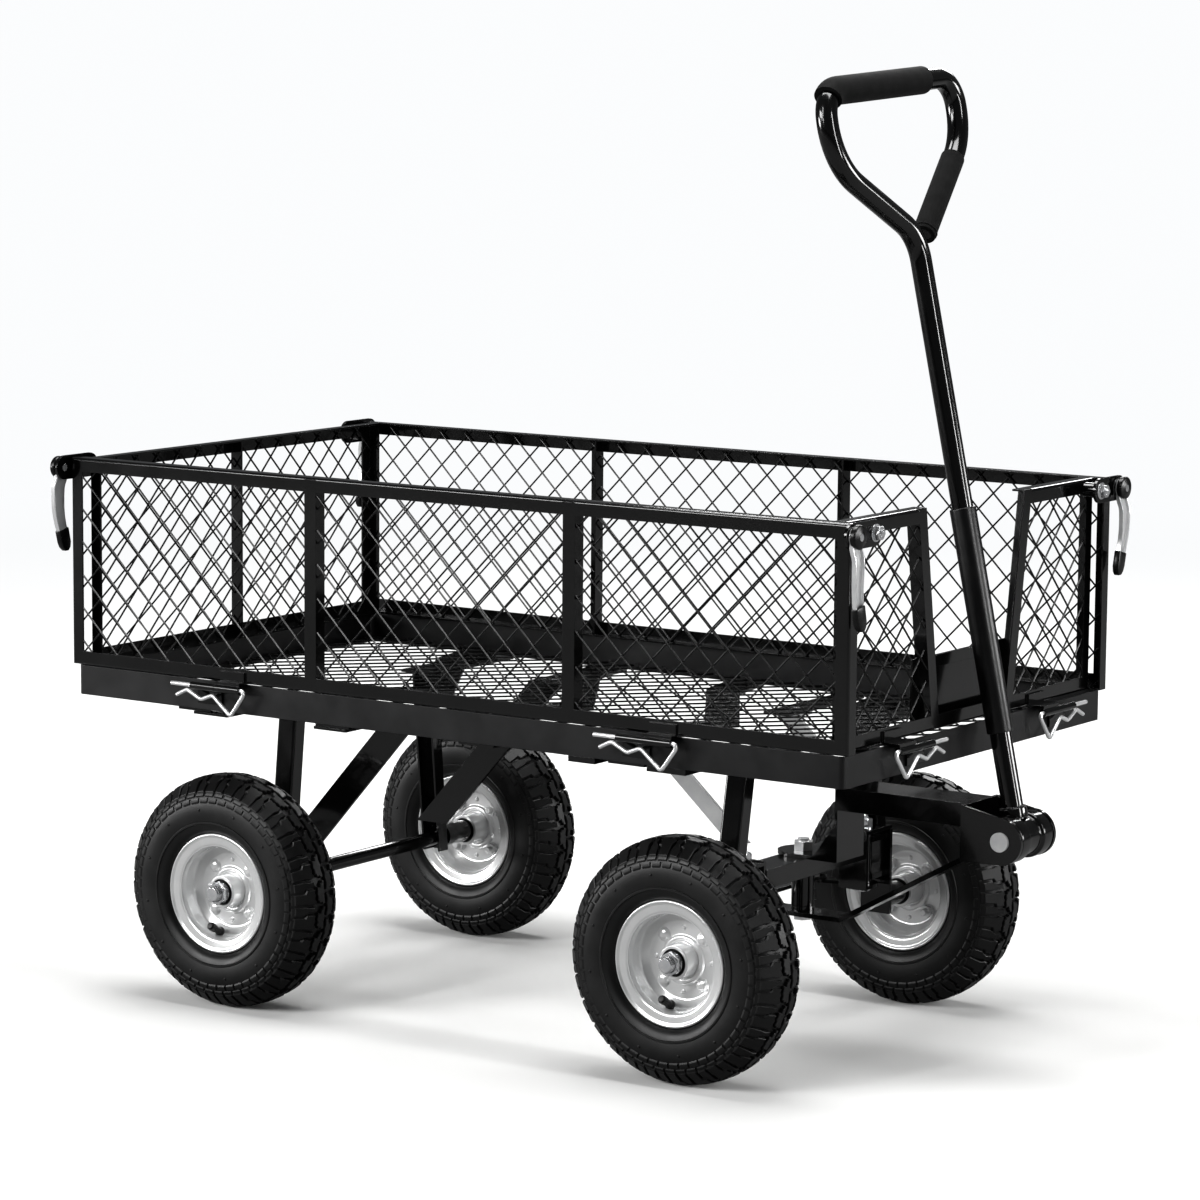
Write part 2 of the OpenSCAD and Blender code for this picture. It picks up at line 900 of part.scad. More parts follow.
module lever_tip_piece() {
    x0 = latch_face + latch_plate + face_gap;
    translate([x0 - 0.3, -latch_pivot_y, -lever_length])
        rotate([90, 0, 90])
            linear_extrude(lever_thickness + 1)
                union() {
                    link_outline([0, -lever_tip_length + 6], [0, -6], 6);
                    translate([-5, -6])
                        square([10, 6]);
                }
}

module front_latch_plates() {
    color(black_paint)
        at_front_corner()
            both_sides()
                latch_plate_piece();
}

module rear_latch_plates() {
    color(black_paint)
        at_rear_corner()
            both_sides()
                latch_plate_piece();
}

module rear_latch_bolts() {
    color(zinc)
        at_rear_corner()
            both_sides()
                latch_bolt_pieces();
}

module fr_lever() {
    color(zinc)
        at_front_corner()
            lever_piece();
}

module fl_lever() {
    color(zinc)
        mirror([0, 1, 0])
            at_front_corner()
                lever_piece();
}

module rr_lever() {
    color(zinc)
        at_rear_corner()
            lever_piece();
}

module rl_lever() {
    color(zinc)
        mirror([0, 1, 0])
            at_rear_corner()
                lever_piece();
}

module fr_lever_tip() {
    color(plastic)
        at_front_corner()
            lever_tip_piece();
}

module fl_lever_tip() {
    color(plastic)
        mirror([0, 1, 0])
            at_front_corner()
                lever_tip_piece();
}

module rr_lever_tip() {
    color(plastic)
        at_rear_corner()
            lever_tip_piece();
}

module rl_lever_tip() {
    color(plastic)
        mirror([0, 1, 0])
            at_rear_corner()
                lever_tip_piece();
}

// ---------- undercarriage ----------

// Channel section of a leg, open towards -Y, centred on the origin
module leg_section() {
    difference() {
        union() {
            rounded_rectangle(leg_width, leg_depth, angle_bend);
            translate([-leg_width / 2, -leg_depth / 2])
                square([leg_width, leg_depth / 2]);
        }
        translate([-leg_width / 2 + leg_sheet, -leg_depth / 2 - over])
            square([leg_width - 2 * leg_sheet, leg_depth - leg_sheet + over]);
    }
}

// Leg on the +Y side that leans outward by rate from the floor down to z_low
module leg(z_low, rate, y_low) {
    height = foot_z - z_low;
    lean = atan(rate);
    intersection() {
        translate([0, y_low, z_low])
            rotate([lean, 0, 0])
                translate([0, 0, -leg_depth])
                    linear_extrude(height + 3 * leg_depth)
                        leg_section();
        translate([-leg_width, 0, z_low])
            cube([2 * leg_width, tray_half, height]);
    }
}

// Foot plate from the leg out to the tray wall
module leg_foot(length) {
    translate([-length / 2, leg_offset_top - leg_depth / 2 - 6, foot_z])
        cube([length, tray_half - leg_offset_top + leg_depth / 2 + 6, strap_sheet]);
}

// Packing between a foot plate at x and the underside of the tray
module foot_packing(x, length) {
    translate([-x, 0, 0])
        difference() {
            translate([x - length / 2, tray_half - tray_lip, strap_z])
                cube([length, tray_lip, strap_sheet]);
            strap_set();
        }
}

module rear_legs() {
    z_low = wheel_radius - 14;
    color(black_paint)
        translate([rear_axle_x, 0, 0])
            both_sides()
                difference() {
                    union() {
                        leg(z_low, leg_lean_rate, leg_offset_axle + 14 * leg_lean_rate);
                        leg_foot(foot_length);
                    }
                    translate([0, 0, wheel_radius])
                        rotate([-90, 0, 0])
                            cylinder(h = tray_half, r = axle_radius);
                }
}

// Distance of the inside of a leg from the middle of the cart at a height
function leg_inside(z) = leg_offset_top + (foot_z - z) * leg_lean_rate - leg_depth / 2;

// Flat brace on the +Y side, bolted up to its own foot plate and welded
// against the inside of the leg
module rear_braces() {
    rise = foot_z - brace_weld_z;
    slope = atan2(rise, rear_brace_reach);
    half = rear_brace_width / 2;
    flat = rear_brace_width / sin(slope);
    color(black_paint)
        translate([rear_axle_x, 0, 0])
            both_sides() {
                difference() {
                    union() {
                        translate([0, brace_inside, 0])
                            rotate([90, 0, 0])
                                linear_extrude(brace_sheet)
                                    polygon([
                                        [-flat / 2 + 6, brace_weld_z],
                                        [flat / 2 + 6, brace_weld_z],
                                        [rear_brace_reach + flat / 2, foot_z],
                                        [rear_brace_reach - flat / 2, foot_z]
                                    ]);
                        translate([rear_brace_reach - flat / 2, brace_inside - brace_sheet, foot_z])
                            cube([flat, tray_half - brace_inside + brace_sheet, strap_sheet]);
                        translate([rear_brace_reach - flat / 2, brace_inside - brace_sheet,
                            foot_z - brace_sheet])
                            cube([flat, 34, brace_sheet]);
                    }
                    translate([rear_brace_reach, brace_bolt_y, foot_z - 2 * brace_sheet])
                        cylinder(h = 20, r = 4);
                    leg(100, leg_lean_rate, leg_offset_top + (foot_z - 100) * leg_lean_rate);
                }
            }
}

module brace_bolt_places() {
    both_sides() {
        translate([rear_axle_x + rear_brace_reach, brace_bolt_y, foot_z - brace_sheet])
            children();
        translate([front_axle_x - front_brace_reach, brace_bolt_y, foot_z - brace_sheet])
            children();
    }
}

// Zinc straps from the front legs back up to the floor
module front_braces() {
    z_low = 232;
    slope = atan2(foot_z - z_low, front_brace_reach);
    flat = front_brace_width / sin(slope);
    inside = front_leg_inside(z_low);
    color(zinc)
        translate([front_axle_x, 0, 0])
            both_sides()
                difference() {
                    union() {
                        translate([0, inside, 0])
                            rotate([90, 0, 0])
                                linear_extrude(brace_sheet)
                                    polygon([
                                        [-flat / 2, z_low],
                                        [flat / 2, z_low],
                                        [-front_brace_reach + flat / 2, foot_z],
                                        [-front_brace_reach - flat / 2, foot_z]
                                    ]);
                        translate([-front_brace_reach - flat / 2, inside - brace_sheet, foot_z - brace_sheet])
                            cube([flat, 34, brace_sheet]);
                    }
                    translate([-front_brace_reach, brace_bolt_y, foot_z - 2 * brace_sheet])
                        cylinder(h = 20, r = 4);
                    leg(yoke_high + yoke_sheet, front_leg_rate, front_leg_foot_y);
                }
}

function front_leg_inside(z) = leg_offset_top + (foot_z - z) * front_leg_rate - leg_depth / 2;

// Axle with the collars that space the wheels out from the legs
module rear_axle() {
    collar_y = leg_offset_axle + leg_depth / 2 + 3;
    color(black_paint)
        translate([rear_axle_x, 0, wheel_radius])
            rotate([-90, 0, 0]) {
                translate([0, 0, -axle_end_y])
                    cylinder(h = 2 * axle_end_y, r = axle_radius);
                for (m = [0, 1])
                    mirror([0, 0, m])
                        translate([0, 0, collar_y])
                            difference() {
                                cylinder(h = hub_in_y - wheel_gap - collar_y, r = 12.5);
                                translate([0, 0, -over])
                                    cylinder(h = 60, r = axle_radius);
                            }
            }
}

module axle_nut() {
    difference() {
        cylinder(h = 2, r = 14);
        translate([0, 0, -over])
            cylinder(h = 4, r = axle_radius);
    }
    translate([0, 0, 2])
        hex_nut(22, axle_nut_height - 2, axle_radius);
}

// Zinc fasteners fixed to the tray and the undercarriage
module chassis_bolts() {
    color(zinc) {
        at_front_corner()
            both_sides()
                latch_bolt_pieces();
        brace_bolt_places() {
            translate([0, 0, -5])
                hex_nut(13, 5, 3.9);
            translate([0, 0, -5])
                cylinder(h = brace_sheet + strap_sheet + 5, r = 4);
        }
        both_sides()
            translate([rear_axle_x, hub_out_y + wheel_gap, wheel_radius])
                rotate([-90, 0, 0])
                    axle_nut();
    }
}

// Front legs, each ending in the forked bracket of a kingpin
module front_legs() {
    color(black_paint)
        translate([front_axle_x, 0, 0])
            both_sides() {
                leg(yoke_high + yoke_sheet, front_leg_rate, front_leg_foot_y);
                leg_foot(foot_length);
                foot_packing(front_axle_x, foot_length);
                translate([-front_brace_reach, 0, 0])
                    difference() {
                        union() {
                            leg_foot(front_brace_foot);
                            foot_packing(front_axle_x - front_brace_reach, front_brace_foot);
                        }
                        translate([0, brace_bolt_y, foot_z - over])
                            cylinder(h = 10, r = 4);
                    }
                difference() {
                    union() {
                        translate([-yoke_width / 2, yoke_web_y - yoke_sheet, yoke_low - yoke_sheet])
                            cube([yoke_width, yoke_sheet, yoke_high - yoke_low + 2 * yoke_sheet]);
                        translate([0, 0, yoke_low - yoke_sheet])
                            linear_extrude(yoke_sheet)
                                yoke_outline(kingpin_offset);
                        translate([0, 0, yoke_high])
                            linear_extrude(yoke_sheet) {
                                yoke_outline(kingpin_offset);
                                translate([-yoke_width / 2, kingpin_offset])
                                    square([yoke_width, front_leg_foot_y + leg_depth / 2 + 3 - kingpin_offset]);
                            }
                    }
                    translate([0, kingpin_offset, 0])
                        cylinder(h = tray_bottom, r = pivot_bolt_radius);
                }
            }
}

module yoke_outline(y) {
    translate([0, y])
        circle(yoke_radius);
    translate([-yoke_width / 2, yoke_web_y - yoke_sheet])
        square([yoke_width, y - yoke_web_y + yoke_sheet]);
}

// Channel beam between the kingpin brackets with the sleeve of the tongue pivot
module front_beam() {
    half = yoke_web_y - yoke_sheet;
    color(black_paint)
        translate([front_axle_x, 0, 0])
            difference() {
                union() {
                    difference() {
                        translate([-beam_width / 2, -half, beam_top - beam_depth])
                            cube([beam_width, 2 * half, beam_depth]);
                        translate([-beam_width / 2 + 3, -half - over, beam_top - beam_depth - over])
                            cube([beam_width - 6, 2 * half + 2 * over, beam_depth - 3 + over]);
                    }
                    translate([0, 0, arm_z + yoke_sheet + face_gap])
                        cylinder(h = beam_top - arm_z - yoke_sheet - face_gap, r = 12);
                }
                translate([0, 0, arm_z])
                    cylinder(h = beam_top - arm_z + over, r = pivot_bolt_radius + running_fit);
            }
}

module kingpins() {
    top = yoke_high + yoke_sheet;
    low = yoke_low - yoke_sheet;
    color(zinc)
        both_sides()
            translate([front_axle_x, kingpin_offset, 0]) {
                translate([0, 0, low])
                    cylinder(h = top - low + 13, r = pivot_bolt_radius);
                translate([0, 0, low - 5])
                    cylinder(h = 5, r = 9, $fn = 6);
                translate([0, 0, top])
                    difference() {
                        cylinder(h = 1.6, r = 10.5);
                        translate([0, 0, -over])
                            cylinder(h = 4, r = pivot_bolt_radius);
                    }
                translate([0, 0, top + 1.6])
                    hex_nut(18, 9, pivot_bolt_radius);
            }
}

// ---------- steering ----------

// Knuckle on the +Y side: sleeve, web, upright plate, stub axle and arm
module knuckle_piece() {
    low = yoke_low + face_gap;
    plate_low = wheel_radius - 15;
    translate([front_axle_x, kingpin_offset, low])
        difference() {
            union() {
                cylinder(h = sleeve_height, r = sleeve_radius);
                for (z = [4, sleeve_height - 10])
                    translate([-13, 0, z])
                        cube([26, stub_plate_y - kingpin_offset, 6]);
            }
            translate([0, 0, -over])
                cylinder(h = sleeve_height + 2 * over, r = pivot_bolt_radius + running_fit);
        }
    translate([front_axle_x - 18, stub_plate_y, plate_low])
        cube([36, 4, low + sleeve_height - plate_low]);
    translate([front_axle_x, stub_plate_y + 4, wheel_radius])
        rotate([-90, 0, 0]) {
            cylinder(h = axle_end_y - stub_plate_y - 4, r = axle_radius);
            difference() {
                cylinder(h = hub_in_y - wheel_gap - stub_plate_y - 4, r = 12.5);
                translate([0, 0, -over])
                    cylinder(h = 60, r = axle_radius);
            }
        }
    translate([0, 0, arm_z])
        linear_extrude(yoke_sheet)
            difference() {
                union() {
                    translate([rod_x, rod_y])
                        circle(rod_width / 2 + 1);
                    polygon([
                        [rod_x, rod_y - rod_width / 2],
                        [front_axle_x - 18, stub_plate_y - 14],
                        [front_axle_x - 18, stub_plate_y + 4],
                        [rod_x, rod_y + rod_width / 2]
                    ]);
                    translate([front_axle_x - 18.5, stub_plate_y - 2])
                        square([36.5, 6]);
                }
                translate([rod_x, rod_y])
                    circle(rod_bolt_radius + 0.3);
            }
}

module right_knuckle() {
    color(black_paint)
        mirror([0, 1, 0])
            knuckle_piece();
}

module left_knuckle() {
    color(black_paint)
        knuckle_piece();
}

module stub_nut_piece() {
    translate([front_axle_x, hub_out_y + wheel_gap, wheel_radius])
        rotate([-90, 0, 0])
            axle_nut();
}

module right_stub_nut() {
    color(zinc)
        mirror([0, 1, 0])
            stub_nut_piece();
}

module left_stub_nut() {
    color(zinc)
        stub_nut_piece();
}

// Flat tie rod with the bolt that drops into the steering arm
module tie_rod_piece() {
    translate([0, 0, rod_z])
        linear_extrude(yoke_sheet)
            difference() {
                link_outline([rod_x, rod_offset], [rod_x, rod_y], rod_width / 2);
                translate([rod_x, rod_offset])
                    circle(rod_bolt_radius + running_fit);
            }
    translate([rod_x, rod_y, 0]) {
        translate([0, 0, arm_z - 1])
            cylinder(h = rod_z - arm_z + 1, r = rod_bolt_radius);
        translate([0, 0, rod_z + yoke_sheet])
            cylinder(h = 4, r = 7, $fn = 6);
    }
}

module right_tie_rod() {
    color(black_paint)
        mirror([0, 1, 0])
            tie_rod_piece();
}

module left_tie_rod() {
    color(black_paint)
        tie_rod_piece();
}

// ---------- tongue ----------

module tongue_channel() {
    length = tongue_front_x - tongue_rear_x;
    translate([tongue_rear_x, -tongue_width / 2, tongue_top - tongue_depth])
        difference() {
            cube([length, tongue_width, tongue_depth]);
            translate([tongue_sheet, tongue_sheet, -over])
                cube([length, tongue_width - 2 * tongue_sheet, tongue_depth - tongue_sheet + over]);
        }
}

// Drop plate and pivot plate that carry the rear of the tongue on the beam
module tongue_rear() {
    plate_z = beam_top + face_gap;
    difference() {
        union() {
            translate([tongue_rear_x, -tongue_width / 2, plate_z])
                cube([tongue_sheet, tongue_width, tongue_top - tongue_depth - plate_z]);
            translate([0, 0, plate_z])
                linear_extrude(4) {
                    translate([front_axle_x, 0])
                        circle(tongue_width / 2);
                    translate([front_axle_x, -tongue_width / 2])
                        square([tongue_rear_x + tongue_sheet - front_axle_x, tongue_width]);
                }
            for (y = [-tongue_width / 2, tongue_width / 2 - tongue_sheet])
                translate([0, y + tongue_sheet, 0])
                    rotate([90, 0, 0])
                        linear_extrude(tongue_sheet)
                            polygon([
                                [tongue_rear_x - 26, plate_z + 4],
                                [tongue_rear_x, plate_z + 4],
                                [tongue_rear_x, plate_z + 40]
                            ]);
        }
        translate([front_axle_x, 0, plate_z - over])
            cylinder(h = 10, r = pivot_bolt_radius);
    }
}

// Flat strut from the pivot up to the hitch, which also carries the tie rods
module tongue_strut() {
    rise_x = front_axle_x + 54;
    difference() {
        union() {
            translate([0, 15, 0])
                rotate([90, 0, 0])
                    linear_extrude(30)
                        polygon([
                            [rod_x + 6, strut_z],
                            [rise_x, strut_z],
                            [tongue_front_x, hitch_height - 25],
                            [tongue_front_x, hitch_height - 25 + strut_sheet * 1.2],
                            [rise_x - 2, strut_z + strut_sheet],
                            [rod_x + 6, strut_z + strut_sheet]
                        ]);
            translate([rod_x, 0, strut_z])
                linear_extrude(strut_sheet)
                    link_outline([0, -rod_offset], [0, rod_offset], 11);
            translate([front_axle_x, 0, strut_z + strut_sheet])
                cylinder(h = arm_z + yoke_sheet - strut_z - strut_sheet, r = 12);
            for (y = [-rod_offset, rod_offset])
                translate([rod_x, y, strut_z + strut_sheet])
                    cylinder(h = rod_z - face_gap / 2 - strut_z - strut_sheet, r = 7);
        }
        translate([front_axle_x, 0, strut_z - over])
            cylinder(h = 30, r = pivot_bolt_radius);
        for (y = [-rod_offset, rod_offset])
            translate([rod_x, y, strut_z - over])
                cylinder(h = 30, r = rod_bolt_radius);
    }
}

// Hitch yoke: cross plate and two round-ended cheeks
module hitch_yoke() {
    low = hitch_height - 25;
    translate([tongue_front_x, -cheek_width / 2, low])
        cube([cheek_sheet, cheek_width, tongue_top - low]);
    for (y = [-cheek_width / 2, cheek_width / 2 - cheek_sheet])
        translate([0, y + cheek_sheet, 0])
            rotate([90, 0, 0])
                linear_extrude(cheek_sheet)
                    difference() {
                        union() {
                            translate([hitch_x, hitch_height])
                                circle(cheek_radius);
                            polygon([
                                [tongue_front_x, low],
                                [hitch_x, hitch_height - cheek_radius],
                                [hitch_x, hitch_height + cheek_radius],
                                [tongue_front_x, tongue_top]
                            ]);
                        }
                        translate([hitch_x, hitch_height])
                            circle(hitch_pin_radius);
                    }
}

module tongue() {
    color(black_paint) {
        tongue_channel();
        tongue_rear();
        tongue_strut();
        hitch_yoke();
    }
}

// Pivot bolt, tie rod studs and hitch rivet
module tongue_bolts() {
    pivot_top = beam_top + face_gap + 4;
    color(zinc) {
        translate([front_axle_x, 0, strut_z - 5]) {
            cylinder(h = 5, r = 10, $fn = 6);
            cylinder(h = pivot_top - strut_z + 5 + 12, r = pivot_bolt_radius);
        }
        translate([front_axle_x, 0, pivot_top])
            hex_nut(19, 9, pivot_bolt_radius);
        for (y = [-rod_offset, rod_offset])
            translate([rod_x, y, strut_z - 3]) {
                cylinder(h = 3, r = 7, $fn = 6);
                cylinder(h = rod_z + yoke_sheet + face_gap + 5 - strut_z + 3, r = rod_bolt_radius);
                translate([0, 0, rod_z + yoke_sheet + face_gap - strut_z + 3])
                    hex_nut(13, 5, rod_bolt_radius);
            }
        translate([hitch_x, -cheek_width / 2 - 3, hitch_height])
            rotate([-90, 0, 0]) {
                cylinder(h = cheek_width + 6, r = hitch_pin_radius);
                cylinder(h = 3, r = 10);
                translate([0, 0, cheek_width + 3])
                    cylinder(h = 3, r = 10);
            }
    }
}

// ---------- handle ----------

// Handle frame: X across the cart, Y up the handle from its pivot
module at_handle() {
    translate([hitch_x, 0, hitch_height])
        rotate([0, -handle_lean, 0])
            rotate([90, 0, 90])
                children();
}

loop_low = loop_start + loop_height * 0.5;
loop_mid = loop_start + loop_height * 0.64;
loop_path = [
    [0, loop_start - 45],
    [0, loop_start],
    [-loop_half - 12, loop_low],
    [-loop_half - 4, loop_start + loop_height - 6],
    [loop_half - 6, loop_start + loop_height + 7],
    [loop_half - 6, loop_mid],
    [4, loop_start - 8]
];
loop_bends = [0, 45, 42, 30, 28, 42, 0];

module handle_tube() {
    stem_end = loop_start - loop_bends[1] / 2;
    color(black_paint)
        at_handle() {
            translate([0, foot_top, 0])
                rotate([-90, 0, 0])
                    cylinder(h = stem_end - foot_top, r = tube_radius);
            bent_rod(loop_path, loop_bends, tube_radius - 0.05, 24, 8);
        }
}

// Hollow drum that swings between the hitch cheeks, with a collar for the tube
module handle_foot() {
    wall = 3;
    color(black_paint)
        at_handle()
            difference() {
                union() {
                    rotate([0, 90, 0])
                        translate([0, 0, -foot_half])
                            difference() {
                                cylinder(h = 2 * foot_half, r = foot_radius);
                                translate([0, 0, wall])
                                    cylinder(h = 2 * foot_half - 2 * wall, r = foot_radius - wall);
                            }
                    translate([0, foot_top - 3, 0])
                        rotate([-90, 0, 0])
                            cylinder(h = foot_radius + 7 - foot_top, r = tube_radius + 3);
                }
                translate([-foot_half - over, 0, 0])
                    rotate([0, 90, 0])
                        cylinder(h = 2 * foot_half + 2 * over, r = hitch_pin_radius + running_fit);
                translate([0, foot_top, 0])
                    rotate([-90, 0, 0])
                        cylinder(h = 20, r = tube_radius);
            }
}

module handle_sleeve() {
    color(plastic)
        at_handle()
            translate([0, handle_sleeve_start, 0])
                rotate([-90, 0, 0])
                    difference() {
                        cylinder(h = handle_sleeve_end - handle_sleeve_start, r = handle_sleeve_radius);
                        translate([0, 0, -over])
                            cylinder(h = handle_sleeve_end - handle_sleeve_start + 2 * over, r = tube_radius);
                    }
}

// Foam grip on the cross bar of the loop
module handle_grip() {
    a = loop_path[3];
    b = loop_path[4];
    slope = atan2(b[1] - a[1], b[0] - a[0]);
    start = 47;
    length = norm(b - a) - 2 * start;
    color(rubber)
        at_handle()
            translate([a[0], a[1], 0])
                rotate([0, 0, slope])
                    translate([start, 0, 0])
                        rotate([0, 90, 0])
                            difference() {
                                cylinder(h = length, r = grip_radius);
                                translate([0, 0, -over])
                                    cylinder(h = length + 2 * over, r = tube_radius);
                            }
}

// ---------- wheels ----------

// Half section of a tyre: X is the radius, Y runs along the axle
module tyre_section() {
    belly = 41;
    centre = wheel_radius - 39;
    wall = 7;
    difference() {
        union() {
            intersection() {
                translate([centre, 0])
                    circle(belly, $fn = 96);
                translate([0, -tyre_width / 2])
                    square([wheel_radius, tyre_width]);
                translate([wheel_radius - 80, 0])
                    circle(80, $fn = 96);
            }
            translate([bead_radius, -26.5])
                square([14, 53]);
        }
        intersection() {
            translate([centre, 0])
                circle(belly - wall, $fn = 96);
            translate([0, -tyre_width / 2 + wall])
                square([wheel_radius - wall, tyre_width - 2 * wall]);
        }
        translate([0, -20])
            square([centre, 40]);
        translate([0, -tyre_width])
            square([bead_radius, 2 * tyre_width]);
        for (m = [0, 1])
            mirror([0, m])
                translate([0, 26.5])
                    square([rim_radius + 1.5, tyre_width]);
    }
}

// Half section of one pressed half of a rim
module rim_half_section() {
    difference() {
        union() {
            translate([bead_radius, 26.7])
                square([rim_radius - bead_radius, rim_sheet]);
            translate([rim_radius - 0.6, 26.7 + rim_sheet])
                circle(rim_sheet);
            translate([bead_radius - rim_sheet, 0.1])
                square([rim_sheet, 26.6 + rim_sheet]);
            translate([hub_radius, 0.1])
                square([bead_radius - hub_radius, rim_sheet]);
            translate([bead_radius - rim_sheet - 7, rim_sheet])
                square(7);
            translate([hub_radius + 4.5, rim_sheet])
                circle(3);
        }
        translate([bead_radius - rim_sheet - 7, rim_sheet + 7.1])
            circle(7);
        translate([0, -20.1 + 0.1])
            square([200, 20.1]);
    }
}

module rim_piece() {
    difference() {
        union() {
            rotate_extrude($fn = 96)
                rim_half_section();
            mirror([0, 0, 1])
                rotate_extrude($fn = 96)
                    rim_half_section();
        }
        for (a = [45:90:315])
            rotate([0, 0, a])
                translate([wheel_bolt_circle, 0, -20])
                    cylinder(h = 40, r = 4);
    }
}

module hub_piece() {
    difference() {
        translate([0, 0, -hub_in])
            cylinder(h = hub_in + hub_out, r = hub_radius);
        translate([0, 0, -hub_in - over])
            cylinder(h = hub_in + hub_out + 2 * over, r = hub_radius - 3);
    }
    for (z = [-hub_in + 1, hub_out - 11])
        translate([0, 0, z])
            difference() {
                cylinder(h = 10, r = hub_radius - 3);
                translate([0, 0, -over])
                    cylinder(h = 12, r = axle_radius + running_fit);
            }
    for (a = [45:90:315])
        rotate([0, 0, a])
            translate([wheel_bolt_circle, 0, 0]) {
                translate([0, 0, -13])
                    cylinder(h = 20, r = 4);
                translate([0, 0, rim_sheet + 0.1])
                    cylinder(h = 5, r = 6.5, $fn = 6);
                translate([0, 0, -rim_sheet - 6.1])
                    cylinder(h = 6, r = 7.5, $fn = 6);
            }
}

module tyre_piece() {
    rotate_extrude($fn = 96)
        tyre_section();
    rotate([0, 0, -100])
        translate([bead_radius - rim_sheet - 3.4, 0, 14])
            rotate([0, -28, 0])
                cylinder(h = 22, r = 3.5);
}

// Stands a wheel drawn round Z on its axle, outer side away from the cart
module at_wheel(x, side) {
    translate([x, side * wheel_offset, wheel_radius])
        rotate([-side * 90, 0, 0])
            children();
}

module fr_tyre() {
    color(rubber)
        at_wheel(front_axle_x, -1)
            tyre_piece();
}

module fr_rim() {
    color(zinc)
        at_wheel(front_axle_x, -1)
            rim_piece();
}

module fr_hub() {
    color(zinc)
        at_wheel(front_axle_x, -1)
            hub_piece();
}

module fl_tyre() {
    color(rubber)
        at_wheel(front_axle_x, 1)
            tyre_piece();
}

module fl_rim() {
    color(zinc)
        at_wheel(front_axle_x, 1)
            rim_piece();
}

module fl_hub() {
    color(zinc)
        at_wheel(front_axle_x, 1)
            hub_piece();
}

module rr_tyre() {
    color(rubber)
        at_wheel(rear_axle_x, -1)
            tyre_piece();
}

module rr_rim() {
    color(zinc)
        at_wheel(rear_axle_x, -1)
            rim_piece();
}

module rr_hub() {
    color(zinc)
        at_wheel(rear_axle_x, -1)
            hub_piece();
}

module rl_tyre() {
    color(rubber)
        at_wheel(rear_axle_x, 1)
            tyre_piece();
}

module rl_rim() {
    color(zinc)
        at_wheel(rear_axle_x, 1)
            rim_piece();
}

module rl_hub() {
    color(zinc)
        at_wheel(rear_axle_x, 1)
            hub_piece();
}

tray();
floor_mesh();
floor_straps();
tray_knuckles();
hinge_clips();
chassis_bolts();
front_frame();
front_mesh();
front_kick_plate();
front_latch_plates();
rear_legs();
rear_braces();
rear_axle();
front_legs();
front_braces();
front_beam();
kingpins();
right_frame();
right_mesh();
left_frame();
left_mesh();
rear_frame();
rear_mesh();
rear_latch_plates();
rear_latch_bolts();
fr_lever();
fl_lever();
rr_lever();
rl_lever();
fr_lever_tip();
fl_lever_tip();
rr_lever_tip();
rl_lever_tip();
tongue();
tongue_bolts();
right_knuckle();
left_knuckle();
right_stub_nut();
left_stub_nut();
right_tie_rod();
left_tie_rod();
handle_tube();
handle_foot();
handle_sleeve();
handle_grip();
fr_tyre();
fr_rim();
fr_hub();
fl_tyre();
fl_rim();
fl_hub();
rr_tyre();
rr_rim();
rr_hub();
rl_tyre();
rl_rim();
rl_hub();
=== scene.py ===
"""Garden cart: finishes, wire mesh, tyres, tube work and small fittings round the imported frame.

The handle end is +X, the cart's left is +Y and the ground is Z = 0. Sizes are typed in
millimetres, and MM turns them to metres.
"""

import json
import math

import bmesh
import bpy
from mathutils import Matrix, Vector


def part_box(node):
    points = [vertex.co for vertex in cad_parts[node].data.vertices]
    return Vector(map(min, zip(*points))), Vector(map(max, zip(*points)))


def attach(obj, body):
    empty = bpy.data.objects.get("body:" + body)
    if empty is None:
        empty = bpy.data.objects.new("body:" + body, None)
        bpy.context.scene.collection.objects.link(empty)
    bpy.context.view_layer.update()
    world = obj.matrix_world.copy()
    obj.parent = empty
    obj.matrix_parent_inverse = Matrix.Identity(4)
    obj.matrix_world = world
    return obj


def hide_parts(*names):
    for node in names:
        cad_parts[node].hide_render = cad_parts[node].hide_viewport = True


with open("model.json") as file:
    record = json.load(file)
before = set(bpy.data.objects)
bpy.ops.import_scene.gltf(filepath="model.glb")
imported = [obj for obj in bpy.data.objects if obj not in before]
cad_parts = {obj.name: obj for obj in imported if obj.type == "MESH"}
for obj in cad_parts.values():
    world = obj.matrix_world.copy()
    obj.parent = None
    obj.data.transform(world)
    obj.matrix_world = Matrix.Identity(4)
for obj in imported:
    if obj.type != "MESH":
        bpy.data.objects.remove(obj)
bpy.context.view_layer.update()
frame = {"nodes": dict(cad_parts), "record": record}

MM = 0.001
X, Y, Z = Vector((1, 0, 0)), Vector((0, 1, 0)), Vector((0, 0, 1))


# ---------- materials ----------

# Part of the noise over which colour and roughness drift from their low to their high value
DRIFT_FROM, DRIFT_TO = 0.3, 0.7


def colour(code):
    """Linear RGBA of an sRGB hex colour."""
    parts = [int(code[i : i + 2], 16) / 255 for i in (1, 3, 5)]
    return [c / 12.92 if c <= 0.04045 else ((c + 0.055) / 1.055) ** 2.4 for c in parts] + [1.0]


def add(tree, kind, settings=None, **inputs):
    """Adds a shader node with its settings; an input is a value or the socket that feeds it.

    An input goes by its socket's name, or by an underscore and its number where names repeat.
    One that is None keeps its default.
    """
    made = tree.nodes.new("ShaderNode" + kind)
    for name, value in (settings or {}).items():
        setattr(made, name, value)
    for name, value in inputs.items():
        socket = made.inputs[int(name[1:]) if name[0] == "_" else name.replace("_", " ")]
        if isinstance(value, bpy.types.NodeSocket):
            tree.links.new(value, socket)
        elif value is not None:
            socket.default_value = value
    return made


def per_m(size_mm):
    """Texture scale that gives features of a size in millimetres."""
    return 1000.0 / size_mm


